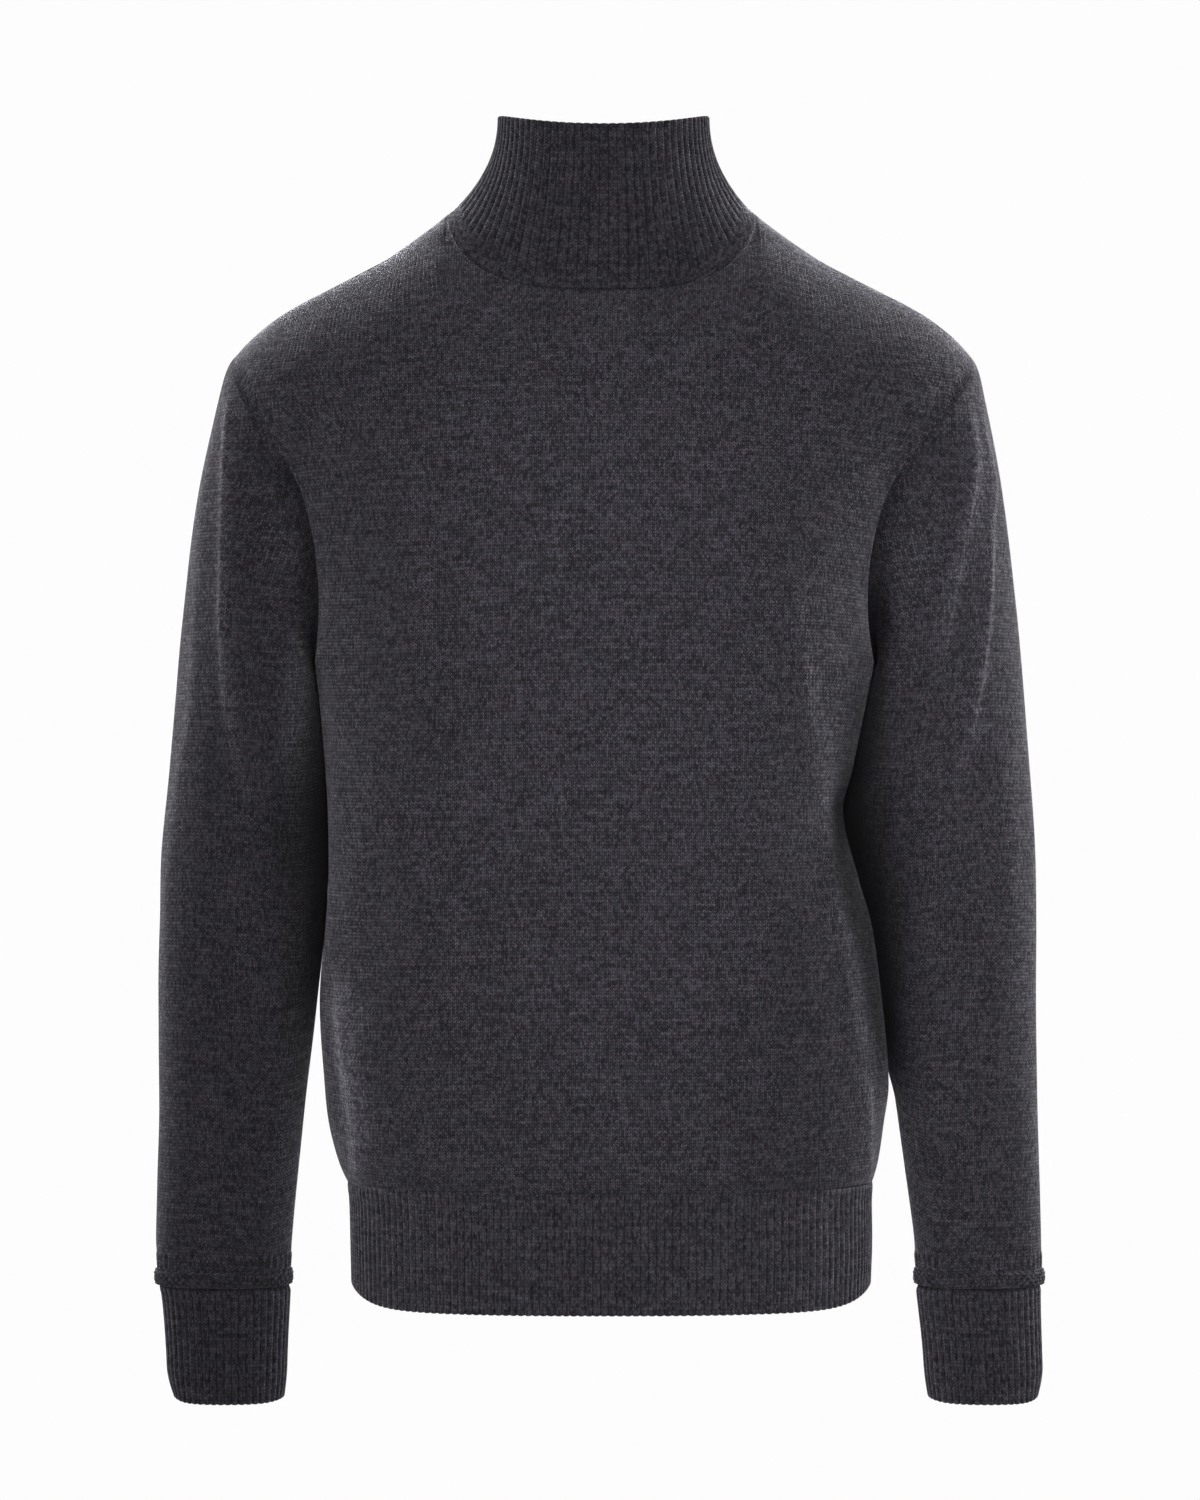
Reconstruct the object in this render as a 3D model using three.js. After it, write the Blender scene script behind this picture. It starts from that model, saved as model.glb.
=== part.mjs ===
// Mock neck sweater in fine wool knit, filled out as when worn and hollow throughout.
// Millimetres. +X is the wearer's left, -Y the front, +Z up.
// The origin is midway between the two high shoulder points, where the wearer holds it up.
// Nine pieces: front, back, two sleeves, collar, hem rib front and back, two cuffs.
import * as THREE from "three";

// ---- driving sizes ----
const WALL = 2.4;
const GAP = 0.3;
const NECK_GAP = 0.6; // where the collar stands steeply on the twisted neck edge
const RIB_RISE = 0.9;
const RIBS_PER_STEP = { hem: 3, collar: 3, cuff: 2 };

const NECK = {
  right: 98, left: 95, front: 82, back: 70, high: 3, dip: 53.6, backRise: 5, full: 0.5,
};
const MOUTH = { right: 66.5, left: 66, half: 60, shift: -6, side: 65, front: 54, back: 64 };
const HEM = { top: -607, bottom: -682, sideLift: 11 };
const ARCH_Z = -220;
const SQUARE = 2.6;

// How many steps the grids take: across a panel, up the side seam, up half an armhole.
const NECK_STEPS = 13;
const SHOULDER_STEPS = 9;
const ACROSS = NECK_STEPS + 2 * SHOULDER_STEPS;
const SIDE_STEPS = 11;
const ARM_STEPS = 11;
const ROUND = 2 * ARM_STEPS;

// Body sections: half widths either side of the middle, and depths before and behind it.
// Above the underarm the half widths only steer how the chest rounds into the armhole.
const TORSO = [
  { z: -87, right: 246, left: 245, front: 126, back: 116 },
  { z: -120, right: 225, left: 218, front: 126, back: 116 },
  { z: -143, right: 214, left: 204, front: 126, back: 116 },
  { z: -170, right: 202.5, left: 191, front: 126, back: 116 },
  { z: -197, right: 193, left: 179.5, front: 126, back: 116 },
  { z: -223, right: 187.5, left: 173.6, front: 126, back: 116 },
  { z: -246, right: 184.2, left: 171, front: 126, back: 116 },
  { z: -264, right: 182.4, left: 169.5, front: 125.5, back: 115.5 },
  { z: -280, right: 182.4, left: 170, front: 124, back: 114 },
  { z: -300, right: 180, left: 166.5, front: 122, back: 112 },
  { z: -347, right: 176, left: 157, front: 118, back: 108 },
  { z: -374, right: 174.5, left: 150.8, front: 116, back: 106 },
  { z: -417, right: 174, left: 161, front: 116, back: 105 },
  { z: -445, right: 175.8, left: 169, front: 118, back: 106 },
  { z: -493, right: 179.4, left: 175.5, front: 120, back: 108 },
  { z: -545, right: 176.3, left: 179.5, front: 121, back: 109 },
  { z: -570, right: 173.5, left: 176.3, front: 120, back: 108 },
  { z: -595, right: 167, left: 172.6, front: 115, back: 105 },
  { z: -607, right: 162, left: 169.6, front: 109, back: 100 },
];

// The rib below the body, drawn in a little.
const HEM_RIB = [
  { z: -607, right: 162, left: 169.6, front: 109, back: 100 },
  { z: -619, right: 160.4, left: 168.6, front: 106.5, back: 98 },
  { z: -650, right: 159.6, left: 168.8, front: 106, back: 97.5 },
  { z: -682, right: 159, left: 168, front: 105, back: 97 },
];

// Top of the shoulder from the high shoulder point out to the sleeve.
const SHOULDER = [
  { x: 95, z: 3 },
  { x: 110, z: -7.5 },
  { x: 135, z: -24 },
  { x: 154, z: -34 },
  { x: 175, z: -44.5 },
  { x: 192, z: -53 },
  { x: 207, z: -62 },
  { x: 222, z: -74 },
  { x: 234, z: -87 },
];

// Sleeve rings. Each has an outer and an inner point; the ring leans between them.
const SLEEVE_RIGHT = [
  { zo: -87, xo: 234.5, zi: -280, xi: 182.4, front: 60, back: 56, mid: 0, bow: 23 },
  { zo: -104, xo: 240.6, zi: -283, xi: 185.4, front: 65.5, back: 61, mid: 0, bow: 18 },
  { zo: -130, xo: 247.5, zi: -291, xi: 185, front: 69, back: 65, mid: 1, bow: 11 },
  { zo: -165, xo: 255, zi: -307, xi: 181.2, front: 70.5, back: 66, mid: 2, bow: 5 },
  { zo: -205, xo: 261, zi: -329, xi: 179, front: 70, back: 66, mid: 3, bow: 2 },
  { zo: -250, xo: 266.4, zi: -356, xi: 177, front: 68, back: 64, mid: 4, bow: 0 },
  { zo: -298, xo: 271.4, zi: -388, xi: 175.9, front: 64, back: 61, mid: 4, bow: 0 },
  { zo: -345, xo: 275.5, zi: -420, xi: 176, front: 59, back: 56, mid: 3, bow: 0 },
  { zo: -395, xo: 279.8, zi: -455, xi: 178.4, front: 53, back: 51, mid: 1, bow: 0 },
  { zo: -445, xo: 280, zi: -490, xi: 181.6, front: 49, back: 48, mid: -2, bow: 0 },
  { zo: -500, xo: 281, zi: -530, xi: 185.3, front: 45.5, back: 44.5, mid: -6, bow: 0 },
  { zo: -555, xo: 281.4, zi: -571, xi: 189.6, front: 41, back: 40.5, mid: -11, bow: 0 },
  { zo: -605, xo: 282, zi: -612, xi: 194.3, front: 37, back: 36, mid: -15, bow: 0 },
  { zo: -640, xo: 282, zi: -641, xi: 197.2, front: 33.5, back: 33, mid: -17.5, bow: 0 },
  { zo: -653, xo: 281.2, zi: -653, xi: 197.8, front: 31.5, back: 31, mid: -18, bow: 0 },
  { zo: -661, xo: 281, zi: -661, xi: 198, front: 31, back: 30.5, mid: -18.5, bow: 0 },
  { zo: -663, xo: 282.6, zi: -663, xi: 196.6, front: 32.6, back: 32.1, mid: -18.5, bow: 0 },
  { zo: -669.5, xo: 282.4, zi: -669.5, xi: 196.8, front: 32.4, back: 31.9, mid: -18.8, bow: 0 },
  { zo: -672, xo: 280.4, zi: -672, xi: 198, front: 30.6, back: 30.1, mid: -19, bow: 0 },
];
const SLEEVE_LEFT = [
  { zo: -87, xo: 233, zi: -280, xi: 170, front: 60, back: 56, mid: 0, bow: 28 },
  { zo: -104, xo: 238.4, zi: -283, xi: 173.2, front: 65.5, back: 61, mid: 0, bow: 23 },
  { zo: -130, xo: 244.6, zi: -291, xi: 172, front: 69, back: 65, mid: 1, bow: 15 },
  { zo: -165, xo: 251, zi: -307, xi: 168.4, front: 70, back: 66, mid: 2, bow: 8 },
  { zo: -205, xo: 256.8, zi: -328, xi: 163.6, front: 68, back: 65, mid: 3, bow: 3 },
  { zo: -250, xo: 261.7, zi: -352, xi: 158.2, front: 64, back: 61, mid: 4, bow: 0 },
  { zo: -298, xo: 266, zi: -379, xi: 154.8, front: 59, back: 57, mid: 4, bow: 0 },
  { zo: -345, xo: 269.4, zi: -408, xi: 160.2, front: 56, back: 54, mid: 3, bow: 0 },
  { zo: -395, xo: 272.6, zi: -446, xi: 171, front: 52, back: 51, mid: 1, bow: 0 },
  { zo: -445, xo: 273.6, zi: -485, xi: 177, front: 49, back: 48, mid: -2, bow: 0 },
  { zo: -500, xo: 273.4, zi: -528, xi: 181, front: 45.5, back: 44.5, mid: -6, bow: 0 },
  { zo: -555, xo: 273.4, zi: -569, xi: 186.4, front: 41, back: 40.5, mid: -11, bow: 0 },
  { zo: -605, xo: 274.2, zi: -611, xi: 191.6, front: 37, back: 36, mid: -15, bow: 0 },
  { zo: -640, xo: 274.8, zi: -641, xi: 195.4, front: 33.5, back: 33, mid: -17.5, bow: 0 },
  { zo: -653, xo: 275.2, zi: -653, xi: 196.2, front: 31.5, back: 31, mid: -18, bow: 0 },
  { zo: -661, xo: 275.4, zi: -661, xi: 196.8, front: 31, back: 30.5, mid: -18.5, bow: 0 },
  { zo: -663, xo: 277, zi: -663, xi: 195.6, front: 32.6, back: 32.1, mid: -18.5, bow: 0 },
  { zo: -669.5, xo: 277, zi: -669.5, xi: 195.8, front: 32.4, back: 31.9, mid: -18.8, bow: 0 },
  { zo: -672, xo: 275.2, zi: -672, xi: 197.4, front: 30.6, back: 30.1, mid: -19, bow: 0 },
];

// Cuff rings: middle, half width, half depth.
const CUFF_RIGHT = [
  { z: -672, x: 239.2, y: -19, wide: 41.2, front: 30.6, back: 30.1 },
  { z: -677, x: 238.2, y: -19.2, wide: 40.1, front: 28.2, back: 28.2 },
  { z: -708, x: 237.5, y: -20.6, wide: 37.9, front: 27, back: 27 },
  { z: -744, x: 237.2, y: -22, wide: 36.6, front: 26, back: 26 },
];
const CUFF_LEFT = [
  { z: -672, x: 236.3, y: -19, wide: 38.9, front: 30.6, back: 30.1 },
  { z: -677, x: 236, y: -19.2, wide: 38.5, front: 28.2, back: 28.2 },
  { z: -708, x: 238, y: -20.6, wide: 37.1, front: 27, back: 27 },
  { z: -744, x: 239.8, y: -22, wide: 36.5, front: 26, back: 26 },
];

// Collar from its seam upwards: a raised linking band, a groove, then the ribs.
const COLLAR = [
  { up: 0, raise: 0, rib: 0 },
  { up: 0.03, raise: 1.1, rib: 0.15 },
  { up: 0.06, raise: 0.1, rib: 0.4 },
  { up: 0.12, raise: 0, rib: 1 },
  { up: 0.32, raise: 0, rib: 1 },
  { up: 0.6, raise: 0, rib: 1 },
  { up: 1, raise: 0, rib: 1 },
];

// Creases that run down a sleeve, placed by the angle round it: 0 outside, 90 front.
const SLEEVE_CREASES = [
  { sleeve: "right", angle: 65.5, top: -120, end: -330, rise: 3.2 },
  { sleeve: "right", angle: 278, top: -140, end: -300, rise: 2.4 },
  { sleeve: "left", angle: 49, top: -140, end: -330, rise: 3 },
  { sleeve: "left", angle: 81.8, top: -125, end: -290, rise: 3 },
  { sleeve: "left", angle: 294, top: -130, end: -310, rise: 2.4 },
];
// Ridges on the body, each from an upper to a lower place.
const BODY_RIDGES = [
  { face: "front", x0: 130, z0: -345, x1: 166, z1: -592, rise: 3.4, wide: 11 },
  { face: "front", x0: -160, z0: -500, x1: -157, z1: -600, rise: 2.4, wide: 9 },
  { face: "back", x0: -128, z0: -360, x1: -156, z1: -590, rise: 3, wide: 12 },
  { face: "back", x0: 150, z0: -480, x1: 158, z1: -595, rise: 2.4, wide: 10 },
];

// ---- small helpers ----
const V = (x, y, z) => new THREE.Vector3(x, y, z);
const mix = (a, b, t) => a + (b - a) * t;
const rad = (deg) => (deg * Math.PI) / 180;

function ease(a, b, x) {
  const t = Math.min(1, Math.max(0, (x - a) / (b - a)));
  return t * t * (3 - 2 * t);
}

// Smooth value of one column of a table at a place along another column.
function read(table, by, key, at) {
  const rows = [...table].sort((p, q) => p[by] - q[by]);
  const last = rows.length - 1;
  if (at <= rows[0][by]) return rows[0][key];
  if (at >= rows[last][by]) return rows[last][key];
  let i = 0;
  while (at > rows[i + 1][by]) i += 1;
  const slope = (k) => {
    const a = rows[Math.max(0, k - 1)];
    const b = rows[Math.min(last, k + 1)];
    return (b[key] - a[key]) / (b[by] - a[by]);
  };
  const h = rows[i + 1][by] - rows[i][by];
  const t = (at - rows[i][by]) / h;
  const t2 = t * t;
  const t3 = t2 * t;
  const p = rows[i][key] * (2 * t3 - 3 * t2 + 1) + rows[i + 1][key] * (3 * t2 - 2 * t3);
  return p + h * (slope(i) * (t3 - 2 * t2 + t) + slope(i + 1) * (t3 - t2));
}

// ---- sleeves ----
const SLEEVES = {
  right: { rings: SLEEVE_RIGHT, sign: -1 },
  left: { rings: SLEEVE_LEFT, sign: 1 },
};

function sleevePoint(side, ring, angle) {
  const { rings, sign } = SLEEVES[side];
  const r = rings[ring];
  const c = Math.cos(angle);
  const s = Math.sin(angle);
  const z = (r.zo + r.zi) / 2 + (c * (r.zo - r.zi)) / 2;
  let out = (r.xo + r.xi) / 2 + (c * (r.xo - r.xi)) / 2 - r.bow * s * s;
  let y = r.mid - s * (s > 0 ? r.front : r.back);
  for (const f of SLEEVE_CREASES.filter((row) => row.sleeve === side)) {
    const turn = Math.abs(((angle * 180) / Math.PI - f.angle + 540) % 360 - 180);
    const span = ease(f.top + 20, f.top - 25, z) * ease(f.end - 40, f.end + 50, z) * ease(0, 2, ring);
    const lift = f.rise * span * Math.exp(-((turn / 9) ** 2));
    out += lift * c;
    y -= lift * s;
  }
  return V(sign * out, y, z);
}

const armhole = (side, angle) => sleevePoint(side, 0, angle);

// ---- neck ----
// Seam round the neck; s runs from -1 at the right high shoulder point to 1 at the left.
function neckSeam(face, s) {
  const turn = rad(90) * s;
  const half = s < 0 ? NECK.right : NECK.left;
  const x = half * Math.sin(turn);
  const flat = Math.sqrt(1 - Math.min(1, Math.abs(x / half)) ** 3);
  const rise = Math.cos(turn) ** NECK.full;
  if (face === "front") return V(x, -NECK.front * rise, NECK.high - NECK.dip * flat);
  return V(x, NECK.back * Math.cos(turn), NECK.high + NECK.backRise * Math.cos(turn));
}

function neckMouth(face, s) {
  const turn = rad(90) * s;
  const half = s < 0 ? MOUTH.right : MOUTH.left;
  const c = Math.cos(turn);
  const y = MOUTH.shift + (face === "front" ? -1 : 1) * MOUTH.half * c;
  const z = mix(MOUTH.side, face === "front" ? MOUTH.front : MOUTH.back, Math.abs(c) ** 1.6);
  return V(half * Math.sin(turn), y, z);
}

function collarPoint(face, s, up) {
  const a = neckSeam(face, s);
  const b = neckMouth(face, s);
  const flare = (1 - up) ** 2.1;
  return V(mix(b.x, a.x, flare), mix(b.y, a.y, flare), mix(a.z, b.z, up));
}

// ---- body ----
// Height at which the face at x would turn over onto the other one. Under the neck it is
// an imagined height, which makes the chest run through the neck seam.
function crestZ(face, x) {
  const half = x < 0 ? NECK.right : NECK.left;
  const share = Math.abs(x) / half;
  if (share >= 1) return read(SHOULDER, "x", "z", Math.abs(x));
  const rise = Math.sqrt(1 - share ** 2);
  const front = NECK.high - NECK.dip * Math.sqrt(1 - share ** 3);
  const z = face === "front" ? front : NECK.high + NECK.backRise * rise;
  const deep = read(TORSO, "z", face, ARCH_Z) * (1 - (x / 232) ** 2 * 0.3);
  const out = NECK[face] * (face === "front" ? rise ** NECK.full : rise);
  return ARCH_Z + (z - ARCH_Z) / Math.sqrt(1 - (out / deep) ** 2);
}

// The same, eased over the high shoulder points.
function ridgeZ(face, x) {
  const spots = [-12, -8, -4, 0, 4, 8, 12];
  return spots.reduce((sum, d) => sum + crestZ(face, x + d), 0) / spots.length;
}

function bodyDepth(table, face, x, z) {
  const half = read(table, "z", x < 0 ? "right" : "left", z);
  const round = (1 - Math.min(1, Math.abs(x) / half) ** SQUARE) ** (1 / SQUARE);
  const t = Math.min(1, Math.max(0, (z - ARCH_Z) / (ridgeZ(face, x) - ARCH_Z)));
  const deep = read(table, "z", face, Math.min(z, ARCH_Z));
  return deep * round * Math.sqrt(1 - t * t);
}

// Even steps round half of a body section, as shares of the half width.
const EVEN = (() => {
  const line = [];
  let length = 0;
  let before = null;
  for (let k = 0; k <= 2000; k += 1) {
    const turn = rad(90) * (k / 1000 - 1);
    const share = Math.sign(turn) * Math.abs(Math.sin(turn)) ** (2 / SQUARE);
    const deep = Math.cos(turn) ** (2 / SQUARE);
    const p = V(share * 166, deep * 106, 0);
    length += before ? p.distanceTo(before) : 0;
    line.push({ share, length });
    before = p;
  }
  const at = (want) => line.find((p) => p.length >= want * length - 1e-9);
  return Array.from({ length: ACROSS + 1 }, (_, i) => (at(i / ACROSS) ?? line[2000]).share);
})();

function topPoint(face, i) {
  const far = ACROSS - SHOULDER_STEPS;
  if (i >= SHOULDER_STEPS && i <= far) {
    return neckSeam(face, ((i - SHOULDER_STEPS) / NECK_STEPS) * 2 - 1);
  }
  const side = i < SHOULDER_STEPS ? "right" : "left";
  const k = (i < SHOULDER_STEPS ? i : ACROSS - i) / SHOULDER_STEPS;
  const tip = armhole(side, 0);
  const high = neckSeam(face, side === "right" ? -1 : 1);
  const x = mix(tip.x, high.x, k);
  const crest = (at) => read(SHOULDER, "x", "z", Math.abs(at));
  const bend = crest(x) - mix(crest(tip.x), crest(high.x), k);
  return V(x, 0, mix(tip.z, high.z, k) + bend);
}

function edgePoint(side, face, j) {
  if (j <= SIDE_STEPS) {
    const t = j / SIDE_STEPS;
    const z = mix(HEM.top, SLEEVES[side].rings[0].zi, 0.3 * t + 0.7 * t ** 1.6);
    return V(SLEEVES[side].sign * read(TORSO, "z", side, z), 0, z);
  }
  const turn = rad(180) * (1 - (j - SIDE_STEPS) / ARM_STEPS);
  return armhole(side, face === "front" ? turn : rad(360) - turn);
}

function panelGrid(face) {
  const rows = SIDE_STEPS + ARM_STEPS;
  const facing = face === "front" ? -1 : 1;
  const tops = Array.from({ length: ACROSS + 1 }, (_, i) => topPoint(face, i));
  const form = (p) => facing * bodyDepth(TORSO, face, p.x, p.z);
  const surface = (i, j) => {
    const w = Math.max(0, (j - SIDE_STEPS) / ARM_STEPS);
    const r = edgePoint("right", face, j);
    const l = edgePoint("left", face, j);
    const tip = tops[0];
    const topShare = tops[i].x < 0 ? -tops[i].x / tip.x : tops[i].x / tops[ACROSS].x;
    const share = mix(EVEN[i], tops[i].x < 0 ? -Math.abs(topShare) : topShare, ease(0, 1, w));
    const x = share < 0 ? -share * r.x : share * l.x;
    const z = mix(r.z, l.z, (share + 1) / 2) + Math.sin(rad(90) * w) ** 1.4 * (tops[i].z - tip.z);
    const p = V(x, 0, z);
    const edge = share < 0 ? r : l;
    const fit = (edge.y - form(edge)) * Math.abs(share) ** 7;
    p.y = form(p) + fit;
    return p;
  };
  return Array.from({ length: rows + 1 }, (_, j) =>
    Array.from({ length: ACROSS + 1 }, (_, i) => {
      const p = surface(i, j);
      const w = Math.max(0, (j - SIDE_STEPS) / ARM_STEPS);
      const clear = ease(1, 0.96, Math.abs(EVEN[i]));
      p.y += w ** 5 * (tops[i].y - surface(i, rows).y);
      for (const f of BODY_RIDGES.filter((row) => row.face === face)) {
        const t = (p.z - f.z0) / (f.z1 - f.z0);
        const span = ease(-0.12, 0.25, t) * ease(1.04, 0.85, t);
        const off = (p.x - mix(f.x0, f.x1, t)) / f.wide;
        p.y += facing * f.rise * span * clear * Math.exp(-off * off);
      }
      return p;
    }),
  );
}

function hemGrid(face, across) {
  const facing = face === "front" ? -1 : 1;
  return HEM_RIB.map((row, j) =>
    Array.from({ length: across + 1 }, (_, i) => {
      const at = (i / across) * ACROSS;
      const k = Math.min(ACROSS - 1, Math.floor(at));
      const spot = (share) => {
        const x = share * (share < 0 ? row.right : row.left);
        const y = facing * bodyDepth([row, row], face, x, row.z);
        return V(x, y, row.z);
      };
      // The first row follows the straight steps of the body's edge.
      const p = j ? spot(mix(EVEN[k], EVEN[k + 1], at - k)) : spot(EVEN[k]).lerp(spot(EVEN[k + 1]), at - k);
      const low = (HEM.top - row.z) / (HEM.top - HEM.bottom);
      const sideness = Math.abs(p.x / (p.x < 0 ? row.right : row.left));
      p.z += HEM.sideLift * low * sideness ** 14;
      return p;
    }),
  );
}

// ---- walls ----
// Every seam collects what meets there, so that both sides lean and stand off alike.
const seams = new Map();
const spotKey = (p) => [p.x, p.y, p.z].map((c) => Math.round(c * 50)).join(" ");

function unit(v, spare) {
  return v.length() > 1e-9 ? v.clone().normalize() : spare.clone();
}

function gridNormals(grid, closed, flip) {
  const rows = grid.length - 1;
  const cols = grid[0].length - (closed ? 0 : 1);
  const at = (j, i) => {
    const k = closed ? (i + cols) % cols : Math.min(cols, Math.max(0, i));
    return grid[Math.min(rows, Math.max(0, j))][k];
  };
  return grid.map((line, j) =>
    line.map((p, i) => {
      const a = at(j, i + 1).clone().sub(at(j, i - 1));
      const b = at(j + 1, i).clone().sub(at(j - 1, i));
      return a.cross(b).multiplyScalar(flip).normalize();
    }),
  );
}

// Adds one piece's edges to the seams they belong to.
function joinSeams(piece) {
  piece.normals = gridNormals(piece.grid, piece.closed, piece.flip);
  piece.edges = [];
  const { grid, closed } = piece;
  const rows = grid.length - 1;
  const cols = grid[0].length - 1;
  const add = (j, i, label, inJ, inI, nextJ, nextI) => {
    const p = grid[j][i];
    const wrap = (k) => (closed ? (k + grid[0].length) % grid[0].length : k);
    const inward = grid[j + inJ][wrap(i + inI)].clone().sub(p).normalize();
    const alongA = grid[Math.min(rows, Math.max(0, j + nextJ))];
    const alongB = grid[Math.min(rows, Math.max(0, j - nextJ))];
    const pick = (line, k) => line[closed ? wrap(k) : Math.min(cols, Math.max(0, k))];
    const along = pick(alongA, i + nextI).clone().sub(pick(alongB, i - nextI)).normalize();
    const edge = { j, i, label, normal: piece.normals[j][i], inward, along };
    const key = spotKey(p);
    if (!seams.has(key)) seams.set(key, []);
    seams.get(key).push({ ...edge, piece });
    piece.edges.push(edge);
  };
  for (let i = 0; i < grid[0].length; i += 1) {
    if (piece.low) add(0, i, piece.low(i), 1, 0, 0, 1);
    if (piece.top && i < cols + 1) {
      for (const label of [piece.top(i)].flat()) add(rows, i, label, -1, 0, 0, 1);
    }
  }
  if (!closed && piece.sides) {
    for (let j = 0; j <= rows; j += 1) {
      for (const label of [piece.sides(j)].flat()) {
        add(j, 0, `${label} right`, 0, 1, 1, 0);
        add(j, cols, `${label} left`, 0, -1, 1, 0);
      }
    }
  }
}

function wallOf(piece) {
  const { grid, normals } = piece;
  const lean = normals.map((line) => line.map((n) => n.clone()));
  const shift = grid.map((line) => line.map(() => V(0, 0, 0)));
  const reach = grid.map((line) => line.map(() => 1));
  for (const edge of piece.edges) {
    const p = grid[edge.j][edge.i];
    const all = seams.get(spotKey(p));
    const same = all.filter((e) => e.label === edge.label);
    const mine = same.filter((e) => e.piece.kin === piece.kin);
    const other = same.filter((e) => e.piece.kin !== piece.kin);
    if (!other.length) continue;
    const sum = (list, key) => list.reduce((acc, e) => acc.add(e[key]), V(0, 0, 0));
    const nA = unit(sum(mine, "normal"), edge.normal);
    const nB = unit(sum(other, "normal"), edge.normal);
    const dA = unit(sum(mine, "inward"), edge.inward);
    const dB = unit(sum(other, "inward"), edge.inward);
    const every = unit(sum(all, "normal"), edge.normal);
    const hollow = dA.clone().add(dB).dot(nA.clone().add(nB)) >= 0 || nA.dot(nB) < -0.4;
    const c = hollow ? 1 : -1;
    const open = dA.clone().add(dB).multiplyScalar(c);
    const shared = nA.dot(nB) < 0.2 ? unit(every.clone().add(open), every) : every;
    const away = dA.clone().sub(dB).sub(nA.clone().sub(nB).multiplyScalar(c));
    away.addScaledVector(shared, -away.dot(shared));
    away.addScaledVector(edge.along, -away.dot(edge.along));
    away.normalize();
    shift[edge.j][edge.i].addScaledVector(away, (edge.label === "neck" ? NECK_GAP : GAP) / 2);
    const own = hollow ? 1 - ease(-0.5, 0.3, nA.dot(nB)) : 0;
    lean[edge.j][edge.i] = shared.clone().lerp(edge.normal, own).normalize();
    const tilt = Math.abs(lean[edge.j][edge.i].dot(edge.normal));
    reach[edge.j][edge.i] = Math.min(1.25, 1 / Math.max(0.5, tilt));
  }
  const outer = grid.map((line, j) => line.map((p, i) => p.clone().add(shift[j][i])));
  const inner = outer.map((line, j) =>
    line.map((p, i) => p.clone().addScaledVector(lean[j][i], -WALL * reach[j][i])),
  );
  return { outer, inner, lean };
}

// ---- meshes ----
function meshOf(name, points, faces, colour) {
  let six = 0;
  for (const [a, b, c] of faces) {
    six += points[a].dot(points[b].clone().cross(points[c]));
  }
  const order = six < 0 ? ([a, b, c]) => [a, c, b] : (f) => f;
  const geometry = new THREE.BufferGeometry();
  const flat = points.flatMap((p) => [p.x, p.y, p.z]);
  geometry.setAttribute("position", new THREE.Float32BufferAttribute(flat, 3));
  geometry.setIndex(faces.flatMap(order));
  geometry.computeVertexNormals();
  const material = new THREE.MeshStandardMaterial({ color: colour, roughness: 0.95, metalness: 0 });
  material.name = `${name}_knit`;
  const mesh = new THREE.Mesh(geometry, material);
  mesh.name = name;
  return mesh;
}

// A closed wall from an outer and an inner grid. The outer one may take several steps
// for each step of the inner one.
function wallMesh(name, outer, inner, closed, colour) {
  const points = [];
  const faces = [];
  const put = (grid) =>
    grid.map((line) => line.map((p) => {
      points.push(p);
      return points.length - 1;
    }));
  const o = put(outer);
  const n = put(inner);
  const many = (outer[0].length - (closed ? 0 : 1)) / (inner[0].length - (closed ? 0 : 1));
  const sheet = (g, turned) => {
    const w = g[0].length;
    for (let j = 0; j + 1 < g.length; j += 1) {
      for (let i = 0; i + (closed ? 0 : 1) < w; i += 1) {
        const k = (i + 1) % w;
        const [a, b, c, d] = [g[j][i], g[j][k], g[j + 1][k], g[j + 1][i]];
        const near = points[a].distanceTo(points[c]) < points[b].distanceTo(points[d]);
        const pair = near ? [[a, b, c], [a, c, d]] : [[a, b, d], [b, c, d]];
        for (const [p, q, r] of pair) faces.push(turned ? [p, r, q] : [p, q, r]);
      }
    }
  };
  sheet(o, false);
  sheet(n, true);
  const rim = (j, turned) => {
    const w = n[0].length;
    const wide = o[0].length;
    for (let i = 0; i + (closed ? 0 : 1) < w; i += 1) {
      const [a, b] = [n[j][i], n[j][(i + 1) % w]];
      const at = (k) => o[j][(i * many + k) % wide];
      const half = Math.ceil(many / 2);
      const tris = [];
      for (let k = 0; k < half; k += 1) tris.push([at(k), a, at(k + 1)]);
      tris.push([at(half), a, b]);
      for (let k = half; k < many; k += 1) tris.push([at(k), b, at(k + 1)]);
      for (const [p, q, r] of tris) faces.push(turned ? [p, r, q] : [p, q, r]);
    }
  };
  rim(0, false);
  rim(o.length - 1, true);
  if (!closed) {
    const side = (io, iv, turned) => {
      for (let j = 0; j + 1 < o.length; j += 1) {
        const [a, b, c, d] = [o[j][io], o[j + 1][io], n[j + 1][iv], n[j][iv]];
        const pair = [[a, b, c], [a, c, d]];
        for (const [p, q, r] of pair) faces.push(turned ? [p, r, q] : [p, q, r]);
      }
    };
    side(0, 0, false);
    side(o[0].length - 1, n[0].length - 1, true);
  }
  return meshOf(name, points, faces, colour);
}

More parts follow.
